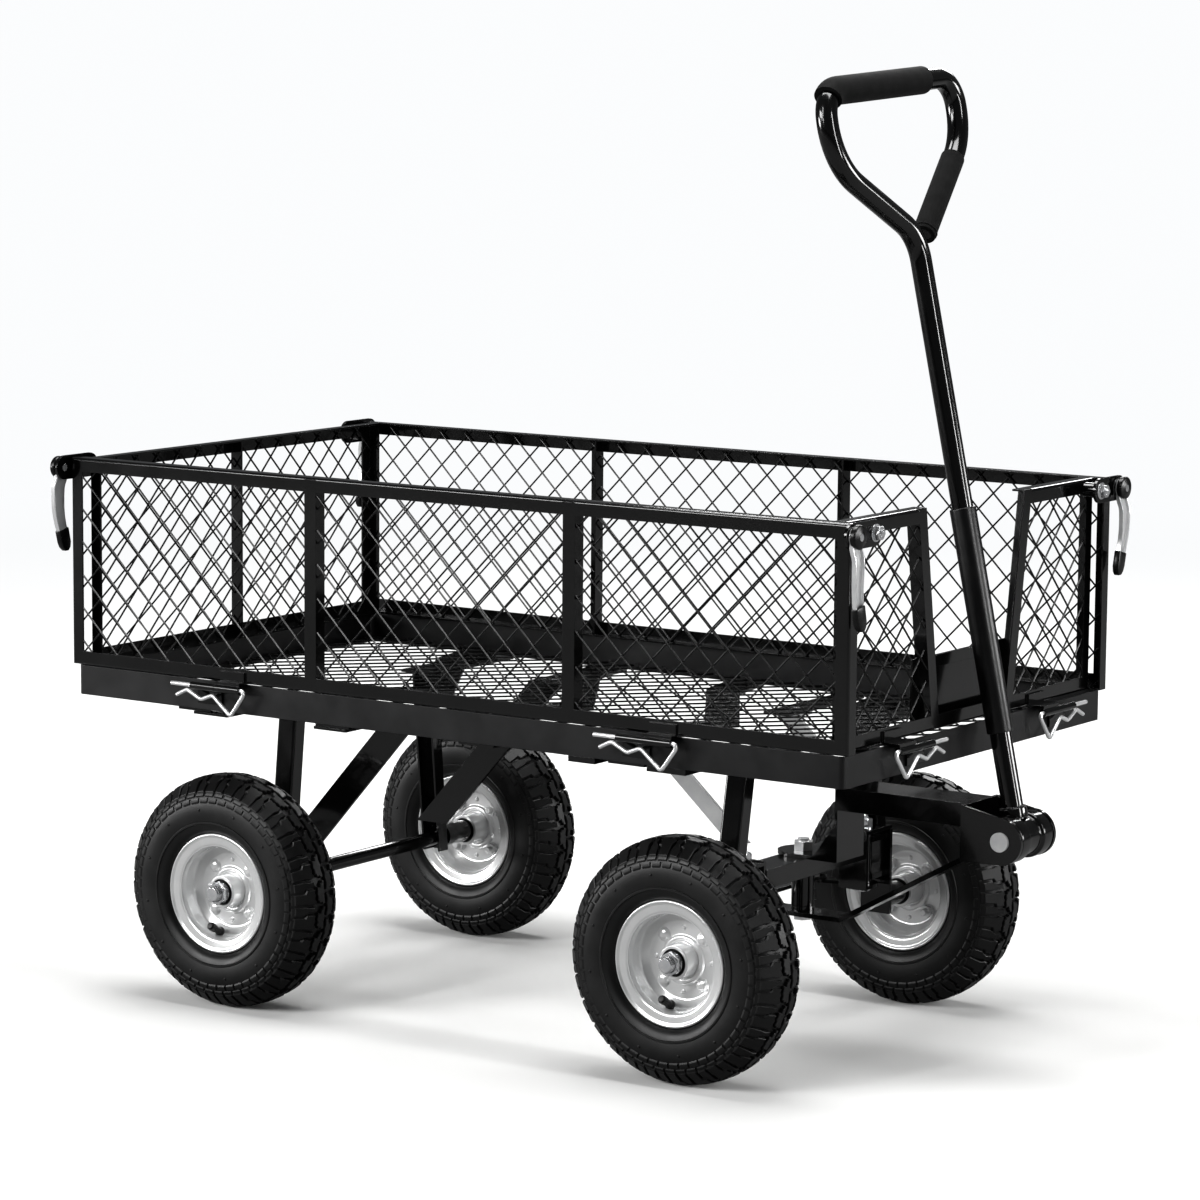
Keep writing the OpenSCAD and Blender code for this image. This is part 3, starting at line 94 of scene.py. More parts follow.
def blotches(tree, spot, size_mm, colours, **noise):
    """Noise in blotches of a size, and the colour that drifts between two hex colours over them."""
    factor = add(tree, "TexNoise", Vector=spot, Scale=per_m(size_mm), **noise).outputs["Fac"]
    band = add(tree, "ValToRGB", Fac=factor)
    for element, position, code in zip(band.color_ramp.elements, (DRIFT_FROM, DRIFT_TO), colours):
        element.position, element.color = position, colour(code)
    return factor, band.outputs["Color"]


def bare_material(name):
    """New material with an empty node tree."""
    material = bpy.data.materials.new(name)
    material.use_nodes = True
    material.node_tree.nodes.clear()
    return material, material.node_tree


def finish(name, colours, roughness, blotch_mm, grain, rounding_mm=0.0, **shader):
    """Principled material whose colour and roughness drift over blotches, with bumps of grain.

    colours are the two hex colours it drifts between, roughness its lowest and highest
    value, and grain a list of (feature, height) in millimetres. rounding_mm softens hard edges.
    """
    material, tree = bare_material(name)
    spot = add(tree, "TexCoord").outputs["Object"]
    blotch, base = blotches(tree, spot, blotch_mm, colours, Detail=5.0, Roughness=0.6)
    rough = add(tree, "MapRange", Value=blotch, From_Min=DRIFT_FROM, From_Max=DRIFT_TO,
                To_Min=roughness[0], To_Max=roughness[1]).outputs["Result"]
    normal = None
    if rounding_mm:
        normal = add(tree, "Bevel", {"samples": 4}, Radius=rounding_mm * MM).outputs["Normal"]
    for feature, height in grain:
        noise = add(tree, "TexNoise", Vector=spot, Scale=per_m(feature), Detail=2.0)
        normal = add(tree, "Bump", Height=noise.outputs["Fac"], Distance=height * MM, Strength=1.0,
                     Normal=normal).outputs["Normal"]
    surface = add(tree, "BsdfPrincipled", Base_Color=base, Roughness=rough, Normal=normal, **shader)
    add(tree, "OutputMaterial", Surface=surface.outputs["BSDF"])
    return material


# Gloss black powder coat baked on steel: deep black with sharp highlights that a faint orange peel wavers
gloss_powder_coat = finish(
    "gloss_black_powder_coat", ["#040404", "#070707"], (0.1, 0.19), 60, [(2.4, 0.010), (0.7, 0.0025)],
    rounding_mm=0.9, IOR=1.48, Coat_Weight=0.5, Coat_Roughness=0.06)
# Satin charcoal powder coat of the tray: a softer, wider sheen and a coarser peel
satin_powder_coat = finish(
    "satin_charcoal_powder_coat", ["#0d0d0e", "#141415"], (0.32, 0.42), 45, [(1.6, 0.02), (0.5, 0.006)],
    rounding_mm=1.0, IOR=1.5)
# Steel wire dipped in black enamel: thin black lines with a small highlight, lumpy where the dip ran
dipped_wire = finish(
    "black_dipped_steel_wire", ["#070707", "#0e0e0e"], (0.2, 0.32), 25, [(1.5, 0.02)], IOR=1.5)
# Bright zinc plate on pressed steel and clip wire: pale metal whose cloudy bloom keeps it from mirroring
bright_zinc = finish(
    "bright_zinc_plate", ["#e8e9ea", "#f5f5f5"], (0.18, 0.26), 14, [(3.0, 0.008)],
    rounding_mm=0.4, Metallic=0.6)
# Zinc plated nuts and bolts: harder, cleaner metal with clear glints on each flat
fastener_zinc = finish(
    "zinc_plated_fastener", ["#d6d8da", "#ececed"], (0.14, 0.22), 6, [(1.6, 0.01)],
    rounding_mm=0.35, Metallic=0.85)
# Zinc plated wheel pressing: pale and even, with wide soft marks of the drawing die
rim_zinc = finish(
    "zinc_plated_rim", ["#eceded", "#f6f6f6"], (0.22, 0.27), 40, [(16.0, 0.012)],
    Metallic=0.6)
# Moulded tyre rubber: dull black with a slight bloom, its mould grain drawn coarse enough to show
tyre_rubber = finish(
    "moulded_tyre_rubber", ["#080808", "#0e0e0e"], (0.35, 0.47), 30, [(1.4, 0.05), (0.4, 0.02)],
    IOR=1.5, Sheen_Weight=0.05)
# Closed-cell foam of the grip: matt, with cells drawn about twice their real size so that they show
grip_foam = finish(
    "closed_cell_grip_foam", ["#030303", "#070707"], (0.8, 0.92), 12, [(0.9, 0.14), (0.4, 0.06)],
    IOR=1.35, Sheen_Weight=0.03)
# Dip-moulded vinyl sleeve: soft satin
vinyl = finish(
    "moulded_vinyl_sleeve", ["#050506", "#09090a"], (0.28, 0.36), 18, [(1.1, 0.03), (0.4, 0.01)],
    IOR=1.5)
# Moulded plastic of the lever tips and cams: smooth, a little glossier than the rubber
moulded_plastic = finish(
    "moulded_black_plastic", ["#060606", "#0b0b0b"], (0.24, 0.34), 10, [(0.8, 0.01)],
    rounding_mm=0.5, IOR=1.46)

SLOT_FINISH = {
    "black_paint": gloss_powder_coat,
    "grey_paint": satin_powder_coat,
    "zinc": bright_zinc,
    "rim_zinc": rim_zinc,
    "tyre_rubber": tyre_rubber,
    "tip_plastic": moulded_plastic,
    "sleeve_plastic": vinyl,
    "grip_foam": grip_foam,
}
node_slot = {row["node"]: row["material_slot"] for row in frame["record"]["subparts"]}
for name, node_object in frame["nodes"].items():
    node_object.data.materials.clear()
    node_object.data.materials.append(SLOT_FINISH[node_slot[name]])


# ---------- placements ----------


def moved(x, y, z):
    """Placement shifted by millimetres."""
    return Matrix.Translation(Vector((x, y, z)) * MM)


def rotated(degrees, axis):
    """Placement turned about one axis."""
    return Matrix.Rotation(math.radians(degrees), 4, axis)


def facing(side):
    """Placement that keeps Z for the positive side and turns it over for the negative one."""
    return rotated(0 if side > 0 else 180, "X")


def faces_along(direction, at=(0, 0, 0)):
    """Placement whose Z runs along a direction."""
    turn = Vector(direction).normalized().to_track_quat("Z", "Y").to_matrix().to_4x4()
    return Matrix.Translation(Vector(at)) @ turn


# Local X to the cart's Y, Y to its Z and Z to its X: a sheet drawn flat then stands across the cart
STOOD_ACROSS = Matrix(((0, 0, 1, 0), (1, 0, 0, 0), (0, 1, 0, 0), (0, 0, 0, 1)))


# ---------- mesh tools ----------


def make_piece(name, bm, body, slot, coat=None, limit_deg=35):
    """Turns a bmesh into a piece that rides on a body, smooth but for edges past the limit."""
    bmesh.ops.recalc_face_normals(bm, faces=bm.faces)
    for face in bm.faces:
        face.smooth = True
    for edge in bm.edges:
        edge.smooth = len(edge.link_faces) == 2 and edge.calc_face_angle(0) < math.radians(limit_deg)
    mesh = bpy.data.meshes.new(name)
    bm.to_mesh(mesh)
    bm.free()
    mesh.materials.append(coat or SLOT_FINISH[slot])
    piece = bpy.data.objects.new(name, mesh)
    bpy.context.scene.collection.objects.link(piece)
    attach(piece, body)
    return piece


def stand_in(name, bm, body, node, coat=None, limit_deg=35):
    """Piece that takes the place and the slot of one frame node."""
    piece = make_piece(name, bm, body, node_slot[node], coat, limit_deg)
    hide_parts(node)
    return piece


def only(kind, geometry):
    """What an operator returned, kept to one kind of element."""
    return [element for element in geometry if isinstance(element, kind)]


def ring_edges(ring):
    """Edges that join the vertices of a ring to each other."""
    held = set(ring)
    return list(dict.fromkeys(e for v in ring for e in v.link_edges if held.issuperset(e.verts)))


def extruded(bm, ring):
    """Next ring of a wall that grows from a ring of vertices, in the same order."""
    fresh = set(only(bmesh.types.BMVert, bmesh.ops.extrude_edge_only(bm, edges=ring_edges(ring))["geom"]))
    return [next(e.other_vert(v) for e in v.link_edges if e.other_vert(v) in fresh) for v in ring]


def take(bm, part, place):
    """Moves what part holds into bm, at a placement."""
    bmesh.ops.transform(part, matrix=place, verts=part.verts)
    bmesh.ops.recalc_face_normals(part, faces=part.faces)
    store = bpy.data.meshes.new("part")
    part.to_mesh(store)
    part.free()
    bm.from_mesh(store)
    bpy.data.meshes.remove(store)


def rod(bm, start, end, radius, sides=8):
    """Closed straight rod between two points in metres."""
    start, end = Vector(start), Vector(end)
    bmesh.ops.create_cone(
        bm, cap_ends=True, segments=sides, radius1=radius, radius2=radius,
        depth=(end - start).length, matrix=faces_along(end - start, (start + end) / 2))


def pin(bm, place, low, high, radius, sides=24):
    """Closed round pin along the Z of a placement, from low to high in millimetres."""
    rod(bm, place @ Vector((0, 0, low * MM)), place @ Vector((0, 0, high * MM)), radius * MM, sides)


def bent_tube(bm, points, bends, radius, sides=20, step_deg=9):
    """Round tube along straight runs, with an arc of its bend radius at each corner."""
    points = [Vector(p) for p in points]
    at = points[0]
    heading = (points[1] - at).normalized()
    ring = bmesh.ops.create_circle(
        bm, cap_ends=True, segments=sides, radius=radius, matrix=faces_along(heading, at))["verts"]
    for i in range(1, len(points)):
        last = i == len(points) - 1
        after = heading if last else (points[i + 1] - points[i]).normalized()
        turn = 0.0 if last else heading.angle(after)
        run = (points[i] - at).length - bends[i] * math.tan(turn / 2)
        ring = extruded(bm, ring)
        bmesh.ops.translate(bm, verts=ring, vec=heading * run)
        at = at + heading * run
        if last:
            break
        axis = heading.cross(after).normalized()
        side = axis.cross(heading).normalized()
        swept = bmesh.ops.spin(
            bm, geom=ring + ring_edges(ring), cent=at + side * bends[i], axis=axis, angle=turn,
            steps=max(2, round(math.degrees(turn) / step_deg)))["geom_last"]
        ring = only(bmesh.types.BMVert, swept)
        at = at + side * bends[i] * (1 - math.cos(turn)) + heading * bends[i] * math.sin(turn)
        heading = after
    bmesh.ops.contextual_create(bm, geom=ring_edges(ring))


def lathed(bm, profile, steps=96, closed=True):
    """Turns a profile of (radius, height) in millimetres round Z."""
    chain = [bm.verts.new((r * MM, 0, h * MM)) for r, h in profile]
    pairs = list(zip(chain, chain[1:])) + ([(chain[-1], chain[0])] if closed else [])
    edges = [bm.edges.new(pair) for pair in pairs]
    bmesh.ops.spin(bm, geom=chain + edges, cent=(0, 0, 0), axis=(0, 0, 1), angle=math.tau,
                   steps=steps, use_merge=True)


# A corner flatter or sharper than these, in degrees, keeps its point, and an arc takes up no
# more than this share of a side
FLATTEST, SHARPEST, SIDE_SHARE = 165, 12, 0.48


def filleted(points, radius, steps=4):
    """Outline with each inner corner replaced by an arc, as far as its sides allow."""
    out = [points[0]]
    for before, here, after in zip(points, points[1:], points[2:]):
        corner = Vector(here)
        one, two = Vector(before) - corner, Vector(after) - corner
        bend = one.angle(two) if min(one.length, two.length) > 1e-6 else math.pi
        if not SHARPEST <= math.degrees(bend) <= FLATTEST:
            out.append(here)
            continue
        reach = min(radius / math.tan(bend / 2), one.length * SIDE_SHARE, two.length * SIDE_SHARE)
        start, end = corner + one.normalized() * reach, corner + two.normalized() * reach
        for i in range(steps + 1):
            t = i / steps
            out.append(tuple((1 - t) ** 2 * start + 2 * t * (1 - t) * corner + t * t * end))
    return out + [points[-1]]


def turned(bm, place, profile, steps=40, radius=0.8):
    """Solid of revolution about the Z of a placement, with its corners rounded to a radius."""
    part = bmesh.new()
    whole = [(0, profile[0][1])] + profile + [(0, profile[-1][1])]
    lathed(part, filleted(whole, radius, 3), steps, closed=False)
    bmesh.ops.remove_doubles(part, verts=part.verts, dist=1e-6)
    take(bm, part, place)


def ring_solid(bm, place, profile, steps=48):
    """Hollow solid of revolution from a closed profile of (radius, height)."""
    part = bmesh.new()
    lathed(part, profile, steps)
    take(bm, part, place)


def plate(bm, outline, thick, place, edge):
    """Flat plate from an outline in millimetres, thick along the Z of a placement."""
    part = bmesh.new()
    face = part.faces.new([part.verts.new((x * MM, y * MM, 0)) for x, y in outline])
    made = bmesh.ops.extrude_face_region(part, geom=[face], use_keep_orig=True)["geom"]
    bmesh.ops.translate(part, verts=only(bmesh.types.BMVert, made), vec=Z * thick * MM)
    bmesh.ops.recalc_face_normals(part, faces=part.faces)
    rims = [e for e in part.edges
            if len(e.link_faces) == 2 and any(len(f.verts) == len(outline) for f in e.link_faces)]
    bmesh.ops.bevel(part, geom=rims, offset=edge * MM, segments=2, profile=0.5, affect="EDGES", material=-1)
    take(bm, part, place)


# ---------- nuts, bolts and welds ----------


def washer(bm, place, radius, height, bore):
    """Flat washer with its punched edges eased."""
    ring_solid(bm, place, [(bore, 0), (radius - 0.3, 0), (radius, 0.3), (radius, height - 0.4),
                           (radius - 0.4, height), (bore, height)], 32)


def hex_nut(bm, place, across, height, bore):
    """Hexagon nut with chamfered corners and a countersunk thread mouth."""
    part = bmesh.new()
    ring = bmesh.ops.create_circle(part, cap_ends=False, segments=24, radius=MM)["verts"]
    corner, sixth, mouth = across / math.sqrt(3), math.pi / 3, 0.9
    # Height, radius, and whether the flats cut in there: up the outside, down the bore and back
    levels = [(0, corner * 0.94, True), (height * 0.1, corner, True), (height * 0.86, corner, True),
              (height, corner * 0.9, True), (height, bore + mouth, False), (height - mouth, bore, False),
              (0, bore, False), (0, corner * 0.94, True)]
    for number, (z, radius, flats) in enumerate(levels):
        if number:
            ring = extruded(part, ring)
        for vert in ring:
            angle = math.atan2(vert.co.y, vert.co.x)
            flat = (across / 2) / math.cos((angle + sixth / 2) % sixth - sixth / 2)
            r = min(flat, radius) if flats else radius
            vert.co = Vector((r * math.cos(angle), r * math.sin(angle), z)) * MM
    bmesh.ops.remove_doubles(part, verts=part.verts, dist=1e-6)
    take(bm, part, place)


def thread(bm, place, radius, length, pitch):
    """Threaded end of a bolt with a chamfered tip."""
    part = bmesh.new()
    profile = [(0, 0), (radius - 0.5, 0)]
    for i in range(max(1, int((length - 1.2) / pitch))):
        profile += [(radius, (i + 0.45) * pitch), (radius - 0.65, (i + 1) * pitch)]
    profile += [(radius - 0.1, length - 1.1), (radius - 1.3, length), (0, length)]
    lathed(part, profile, 28, closed=False)
    bmesh.ops.remove_doubles(part, verts=part.verts, dist=1e-6)
    take(bm, part, place)


# Washer (radius, height, bore), nut (across flats, height, bore), thread (radius, length,
# pitch) and how far above the seat of the washer the thread starts
NUTTED_ENDS = {
    "corner_bolt": ((9, 1.5, 3.9), (13, 5.5, 3.7), (3.95, 8.6, 1.25), 1.0),
    "strap_bolt": ((8.5, 1.2, 3.9), (13, 5, 3.7), (3.95, 8.2, 1.25), 0.4),
    "rim_bolt": ((7.6, 1.2, 3.6), (12.6, 5.0, 3.4), (3.9, 10.6, 1.25), 0.3),
    "axle": ((11.6, 2, 8.05), (22, 7, 8.05), (8.5, 7.0, 1.5), 8.4),
    "kingpin": ((10.5, 1.6, 5.9), (18, 9, 5.6), (5.95, 5.4, 1.5), 9.6),
}


def nutted_end(bm, place, kind):
    """Washer, nut and threaded end of one kind, up the Z of a placement."""
    washer_size, nut_size, thread_size, thread_from = NUTTED_ENDS[kind]
    washer(bm, place, *washer_size)
    hex_nut(bm, place @ moved(0, 0, washer_size[1]), *nut_size)
    thread(bm, place @ moved(0, 0, thread_from), *thread_size)


def weld(bm, start, end, radius=1.5, step=2.3):
    """Rippled weld bead between two points in millimetres."""
    start, end = Vector(start), Vector(end)
    count = max(2, round((end - start).length / step))
    for i in range(count + 1):
        ripple = 1 + 0.14 * math.sin(2.7 * i + start.x)
        bmesh.ops.create_icosphere(
            bm, subdivisions=2, radius=radius * ripple * MM, matrix=moved(*start.lerp(end, i / count)))


def weld_ring(bm, place, radius, bead, step=2.2):
    """Rippled weld bead round the Z of a placement."""
    count = round(math.tau * radius / step)
    for i in range(count):
        ripple = 1 + 0.15 * math.sin(2.3 * i)
        at = place @ rotated(360 * i / count, "Z") @ Vector((radius * MM, 0, 0))
        bmesh.ops.create_icosphere(
            bm, subdivisions=2, radius=bead * ripple * MM, matrix=Matrix.Translation(at))


# ---------- wire mesh ----------

WIRE_RADIUS, WIRE_PITCH = 1.0 * MM, 25.4 * MM
# The second layer of wires lies this many radii further out, so that it presses into the first
LAYER_STEP = 1.9
SHORTEST_WIRE = 4 * MM


def clipped(point, way, outline):
    """Where a line crosses a convex outline, as its first and last distance, or None."""
    low, high = -10.0, 10.0
    for a, b in zip(outline, outline[1:] + outline[:1]):
        inward = Vector((a[1] - b[1], b[0] - a[0]))
        gap = (point - Vector(a)).dot(inward)
        pace = way.dot(inward)
        if abs(pace) < 1e-9:
            if gap < 0:
                return None
        elif pace > 0:
            low = max(low, -gap / pace)
        else:
            high = min(high, -gap / pace)
    return (low, high) if high - low > SHORTEST_WIRE else None


def wire_mesh(bm, outline, place):
    """Two layers of round wires at 45 degrees inside an outline in metres."""
    step = WIRE_PITCH * math.sqrt(2)
    count = math.ceil((max(x for x, _ in outline) + max(y for _, y in outline)) / step)
    for layer, slope in ((0, 1), (1, -1)):
        way = Vector((1, slope)).normalized()
        depth = WIRE_RADIUS + layer * WIRE_RADIUS * LAYER_STEP
        for i in range(-count, count + 1):
            point = Vector((i * step, 0))
            cut = clipped(point, way, outline)
            if cut:
                start, end = (place @ Vector((*(point + way * c), depth)) for c in cut)
                rod(bm, start, end, WIRE_RADIUS)


def sheet_at(origin, along, up):
    """Placement of a flat sheet: X along it, Y up it and Z through it."""
    turn = Matrix((along, up, along.cross(up))).transposed().to_4x4()
    return Matrix.Translation(Vector(origin)) @ turn


def rectangle(x0, x1, y0, y1):
    """Corners of a rectangle, anticlockwise."""
    return [(x0, y0), (x1, y0), (x1, y1), (x0, y1)]


def bays_between(width, height, uprights):
    """Mesh rectangles beside the uprights, each of which runs from a start to an end in millimetres."""
    stops = [0.0] + [edge * MM for upright in uprights for edge in upright] + [width]
    return [rectangle(a, b, 0, height) for a, b in zip(stops[::2], stops[1::2])]


def panel_mesh(name, node, body, bays, place):
    """The wires of one panel, bay by bay."""
    bm = bmesh.new()
    for bay in bays:
        wire_mesh(bm, bay, place)
    stand_in(name, bm, body, node, dipped_wire)


# Where the uprights of a panel interrupt its mesh
SIDE_UPRIGHTS = [(331.2, 334.2), (659.8, 662.8)]
REAR_UPRIGHT = [(238.5, 241.5)]
# Width of a front bay at its foot and at its head, beside the leaning edge of the notch
FRONT_FOOT, FRONT_HEAD = 163.8 * MM, 131.4 * MM
# The right mesh starts this far inside its panel's inner face
RIGHT_MESH_IN = 0.2 * MM

side_low, side_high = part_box("right_mesh")
side_rise = side_high.z - side_low.z
side_bays = bays_between(side_high.x - side_low.x, side_rise, SIDE_UPRIGHTS)
panel_mesh("right_wire_mesh", "right_mesh", "right_side", side_bays,
           sheet_at((side_low.x, side_high.y + RIGHT_MESH_IN, side_low.z), X, Z))

left_low, left_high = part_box("left_mesh")
panel_mesh("left_wire_mesh", "left_mesh", "left_side", side_bays,
           sheet_at((left_low.x, left_high.y, left_low.z), X, Z))

rear_low, rear_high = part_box("rear_mesh")
panel_mesh("rear_wire_mesh", "rear_mesh", "rear_end",
           bays_between(rear_high.y - rear_low.y, side_rise, REAR_UPRIGHT), sheet_at(rear_low, Y, Z))

front_low, front_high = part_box("front_mesh")
front_width = front_high.y - front_low.y
front_bays = [
    [(0, 0), (FRONT_FOOT, 0), (FRONT_HEAD, side_rise), (0, side_rise)],
    [(front_width - FRONT_FOOT, 0), (front_width, 0), (front_width, side_rise),
     (front_width - FRONT_HEAD, side_rise)],
]
panel_mesh("front_wire_mesh", "front_mesh", "chassis", front_bays, sheet_at(front_low, Y, Z))

floor_low, floor_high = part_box("floor_mesh")
panel_mesh("floor_wire_mesh", "floor_mesh", "chassis",
           [rectangle(0, floor_high.x - floor_low.x, 0, floor_high.y - floor_low.y)],
           sheet_at(floor_low, X, Y))


# ---------- hinge clips ----------

# Ends of the tray, and the height of the hinges
REAR_X, FRONT_X, HINGE_Z = -511.6, 463.4, 355
# How far out the hinge lines are: from the middle on the sides, past the tray on the ends
SIDE_HINGE_Y, END_HINGE_OUT = 274, 12
# Middles of the hinges: along a side from the rear end, and across an end
SIDE_HINGES, END_HINGES = (203, 751), (-146, 146)

# Corners of the bent wire (along the hinge, down from it) and their bend radii: the first
# run is the hinge pin, the rest is the wave that hangs outside the tray
CLIP_PATH = [(-99, 0), (3, 0), (-16, 28), (-42, 8), (-57, 14), (-77, 5), (-91, 12)]
CLIP_BENDS = [0, 4, 3.5, 6, 6, 6, 0]
CLIP_WIRE_RADIUS, CLIP_TILT = 2.25, 6
# From the middle of a hinge to the clip's corner
CLIP_CORNER = 38.1


def add_clip(bm, corner, along, out):
    """Bent wire clip from a corner in millimetres, tilted away from the tray wall below the pin."""
    tilt = math.radians(CLIP_TILT)
    drop = out * math.sin(tilt) - Z * math.cos(tilt)
    path = [(Vector(corner) + along * u + drop * v) * MM for u, v in CLIP_PATH]
    bent_tube(bm, path, [b * MM for b in CLIP_BENDS], CLIP_WIRE_RADIUS * MM, sides=14, step_deg=12)


bm = bmesh.new()
for along in SIDE_HINGES:
    for side in (-1, 1):
        add_clip(bm, (REAR_X + along + CLIP_CORNER, side * SIDE_HINGE_Y, HINGE_Z), X, Y * side)
for across in END_HINGES:
    add_clip(bm, (FRONT_X + END_HINGE_OUT, across - CLIP_CORNER, HINGE_Z), -Y, X)
    add_clip(bm, (REAR_X - END_HINGE_OUT, across - CLIP_CORNER, HINGE_Z), -Y, -X)
stand_in("wire_hinge_clips", bm, "chassis", "hinge_clips")


# ---------- pull handle ----------

LEAN = 12.2
HITCH = (511.4, 0, 247)
# The handle's own plane, from the hitch: X across the cart, Y up the stem
HANDLE = moved(*HITCH) @ rotated(-LEAN, "Y") @ STOOD_ACROSS
ACROSS = HANDLE @ rotated(90, "Y")
STEM = HANDLE @ rotated(-90, "X")
TUBE_FROM, TUBE_RADIUS, FOOT_WELD_UP = 18, 10.95, 30.2
# Corners of the loop in that plane, and the bend radius at each; the last is the cut end
LOOP = [(0, 616), (-140, 693), (-132, 764), (122, 777), (122, 714.6), (14, 616.5)]
LOOP_BENDS = [45, 66, 30, 28, 68, 0]


def on_handle(across, up):
    """Point in the handle's plane, from millimetres."""
    return HANDLE @ (Vector((across, up, 0)) * MM)


def along_loop(start, end, skipped):
    """Placement whose Z runs towards the next corner of the loop, and the length left to it."""
    way = Vector(end) - Vector(start)
    at = Vector(start) + way.normalized() * skipped
    turn = math.degrees(math.atan2(way.y, way.x))
    return HANDLE @ moved(at.x, at.y, 0) @ rotated(turn, "Z") @ rotated(90, "Y"), way.length - skipped


bm = bmesh.new()
bent_tube(bm, [on_handle(0, TUBE_FROM)] + [on_handle(*p) for p in LOOP], [0] + [b * MM for b in LOOP_BENDS],
          TUBE_RADIUS * MM, sides=40, step_deg=5)
weld_ring(bm, STEM @ moved(0, 0, FOOT_WELD_UP), 12.0, 1.3)
stand_in("handle_bent_tube", bm, "handle", "handle_tube")

# Drum of the foot, waisted between its two discs, with the collar that takes the tube
DRUM = [(6.6, -32.1), (23.7, -32.1), (23.7, -13.5), (20.2, -12), (20.2, 12), (23.7, 13.5), (23.7, 32.1), (6.6, 32.1)]
COLLAR = [(11.0, 19), (14, 19), (14, 29.8), (11.0, 29.8)]
bm = bmesh.new()
ring_solid(bm, ACROSS, filleted(DRUM, 3.0, 6), 72)
ring_solid(bm, STEM, filleted(COLLAR, 1.2))
stand_in("handle_foot_drum", bm, "handle", "handle_foot")

STEM_SLEEVE = [(11.0, 107), (13.5, 107), (13.5, 337), (11.0, 337)]
bm = bmesh.new()
ring_solid(bm, STEM, filleted(STEM_SLEEVE, 1.4))
stand_in("stem_vinyl_sleeve", bm, "handle", "handle_sleeve", vinyl)

# Sleeve on the cut end of the loop, and the weld that holds that end to the stem
END_SLEEVE_SKIP, END_SLEEVE_PAST, END_WELD_BACK = 32, 1.2, 4
place, length = along_loop(LOOP[4], LOOP[5], END_SLEEVE_SKIP)
end_sleeve = [(8.0, 0), (12.4, 0), (12.4, length + END_SLEEVE_PAST), (8.0, length + END_SLEEVE_PAST)]
bm = bmesh.new()
ring_solid(bm, place, filleted(end_sleeve, 1.6), 40)
weld_ring(bm, place @ moved(0, 0, length - END_WELD_BACK), 12.3, 1.1)
make_piece("loop_end_sleeve", bm, "handle", node_slot["handle_sleeve"], grip_foam)

# Foam grip, pushed on over the bar and round part of its first bend
GRIP_RADIUS, GRIP_LOWEST, GRIP_LEFT, GRIP_END, GRIP_LAST_RUN = 14.4, 742, -127, 60, 10
(bar_x, bar_up), (bar_end_x, bar_end_up) = LOOP[2], LOOP[3]
bar = filleted([(-150, 600)] + LOOP[1:5] + [(0, 600)], LOOP_BENDS[2], 14)
reach = [p for p in bar if p[1] > GRIP_LOWEST and GRIP_LEFT < p[0] < GRIP_END - GRIP_LAST_RUN]
reach.append((GRIP_END, bar_up + (bar_end_up - bar_up) * (GRIP_END - bar_x) / (bar_end_x - bar_x)))
bm = bmesh.new()
bent_tube(bm, [on_handle(*p) for p in reach], [0] * len(reach), GRIP_RADIUS * MM, sides=44)
grip = stand_in("foam_grip", bm, "handle", "handle_grip")


# ---------- tyres ----------

# Half of the tyre's section (radius, distance from the middle): tread, shoulder, side wall, bead
TYRE_SIDE = [
    (123, 0), (122.6, 8), (121.2, 15), (118.6, 21.5), (115, 27), (110.5, 31.3), (105, 34.6), (98, 36.7),
    (90, 37.2), (84, 36.9), (79.6, 36.2), (78.8, 37.2), (77.4, 37.2), (76.6, 35.6), (72, 34.4), (68.4, 32),
    (66.6, 29.6), (65.6, 27.4), (63.8, 26.3), (60, 26), (51.6, 25), (51.4, 20),
]
# Centre and radius of the arcs that the top of the tread follows, over the crown and the shoulder
TREAD_ARCS = ((46.9, 80), (88, 40.6))
LUGS, LUG_DEPTH, LUG_EDGE = 28, 6.0, 0.6
# Tread blocks, as (distance from the middle, share of the pitch round, degrees more)
CENTRE_LUG = [
    (0.9, 0, 0.5), (5.2, 0, 0.2), (6.2, 0, 1.3), (9.6, 0, 0.8), (10.4, 0, 2.2), (12.4, 0, 2.4), (11.6, 0, 4.4),
    (12.8, 0, 5.6), (11.8, 0, 7.6), (12.6, 1, -3.8), (8.0, 1, -4.4), (6.6, 1, -2.6), (5.2, 1, -2.4), (4.6, 1, -1.2),
    (0.9, 1, -1.4), (2.4, 0.66, 0), (1.4, 0.5, 0), (2.6, 0.3, 0),
]
SHOULDER_LUG = [
    (14.6, 0, 0.8), (19.0, 0, 0.2), (23.0, 0, 0.8), (33.2, 0, 0.4), (33.2, 0.46, 0), (24.8, 0.48, 0),
    (23.6, 0.62, 0), (15.0, 0.6, 0), (16.2, 0.48, 0), (14.8, 0.38, 0), (16.2, 0.26, 0), (14.8, 0.16, 0),
]
GAP_LUG = [
    (14.8, 0.72, 0), (21.0, 0.74, 0), (26.4, 0.6, 0), (33.0, 0.58, 0), (33.0, 0.92, 0), (25, 0.94, 0),
    (20, 0.9, 0), (15.4, 0.93, 0),
]
# Small blocks on the side wall, with the degrees left free before and after each
WALL_BLOCKS, WALL_BLOCK_DEPTH, WALL_BLOCK_EDGE, FREE_BEFORE, FREE_AFTER = 52, 3.4, 0.35, 0.4, 1.1
# Rows of them: inner and outer radius, rise, and the share of a block that the row is shifted
WALL_ROWS = ((107.4, 111.6, 1.5, 0.0), (100.8, 105.4, 1.2, 0.5))
# Vent nibs: how many, on which radius, and the angle of the first
NIBS, NIB_RADIUS, NIB_FIRST = 12, 92, 11
# Angle, distance out, height and lean of the valve stem, and the ribs of its cap
VALVE_ANGLE, VALVE_RADIUS, VALVE_HEIGHT, VALVE_LEAN = -100, 45.9, 14, -28
CAP_RIBS, CAP_RADIUS = 14, 4.0


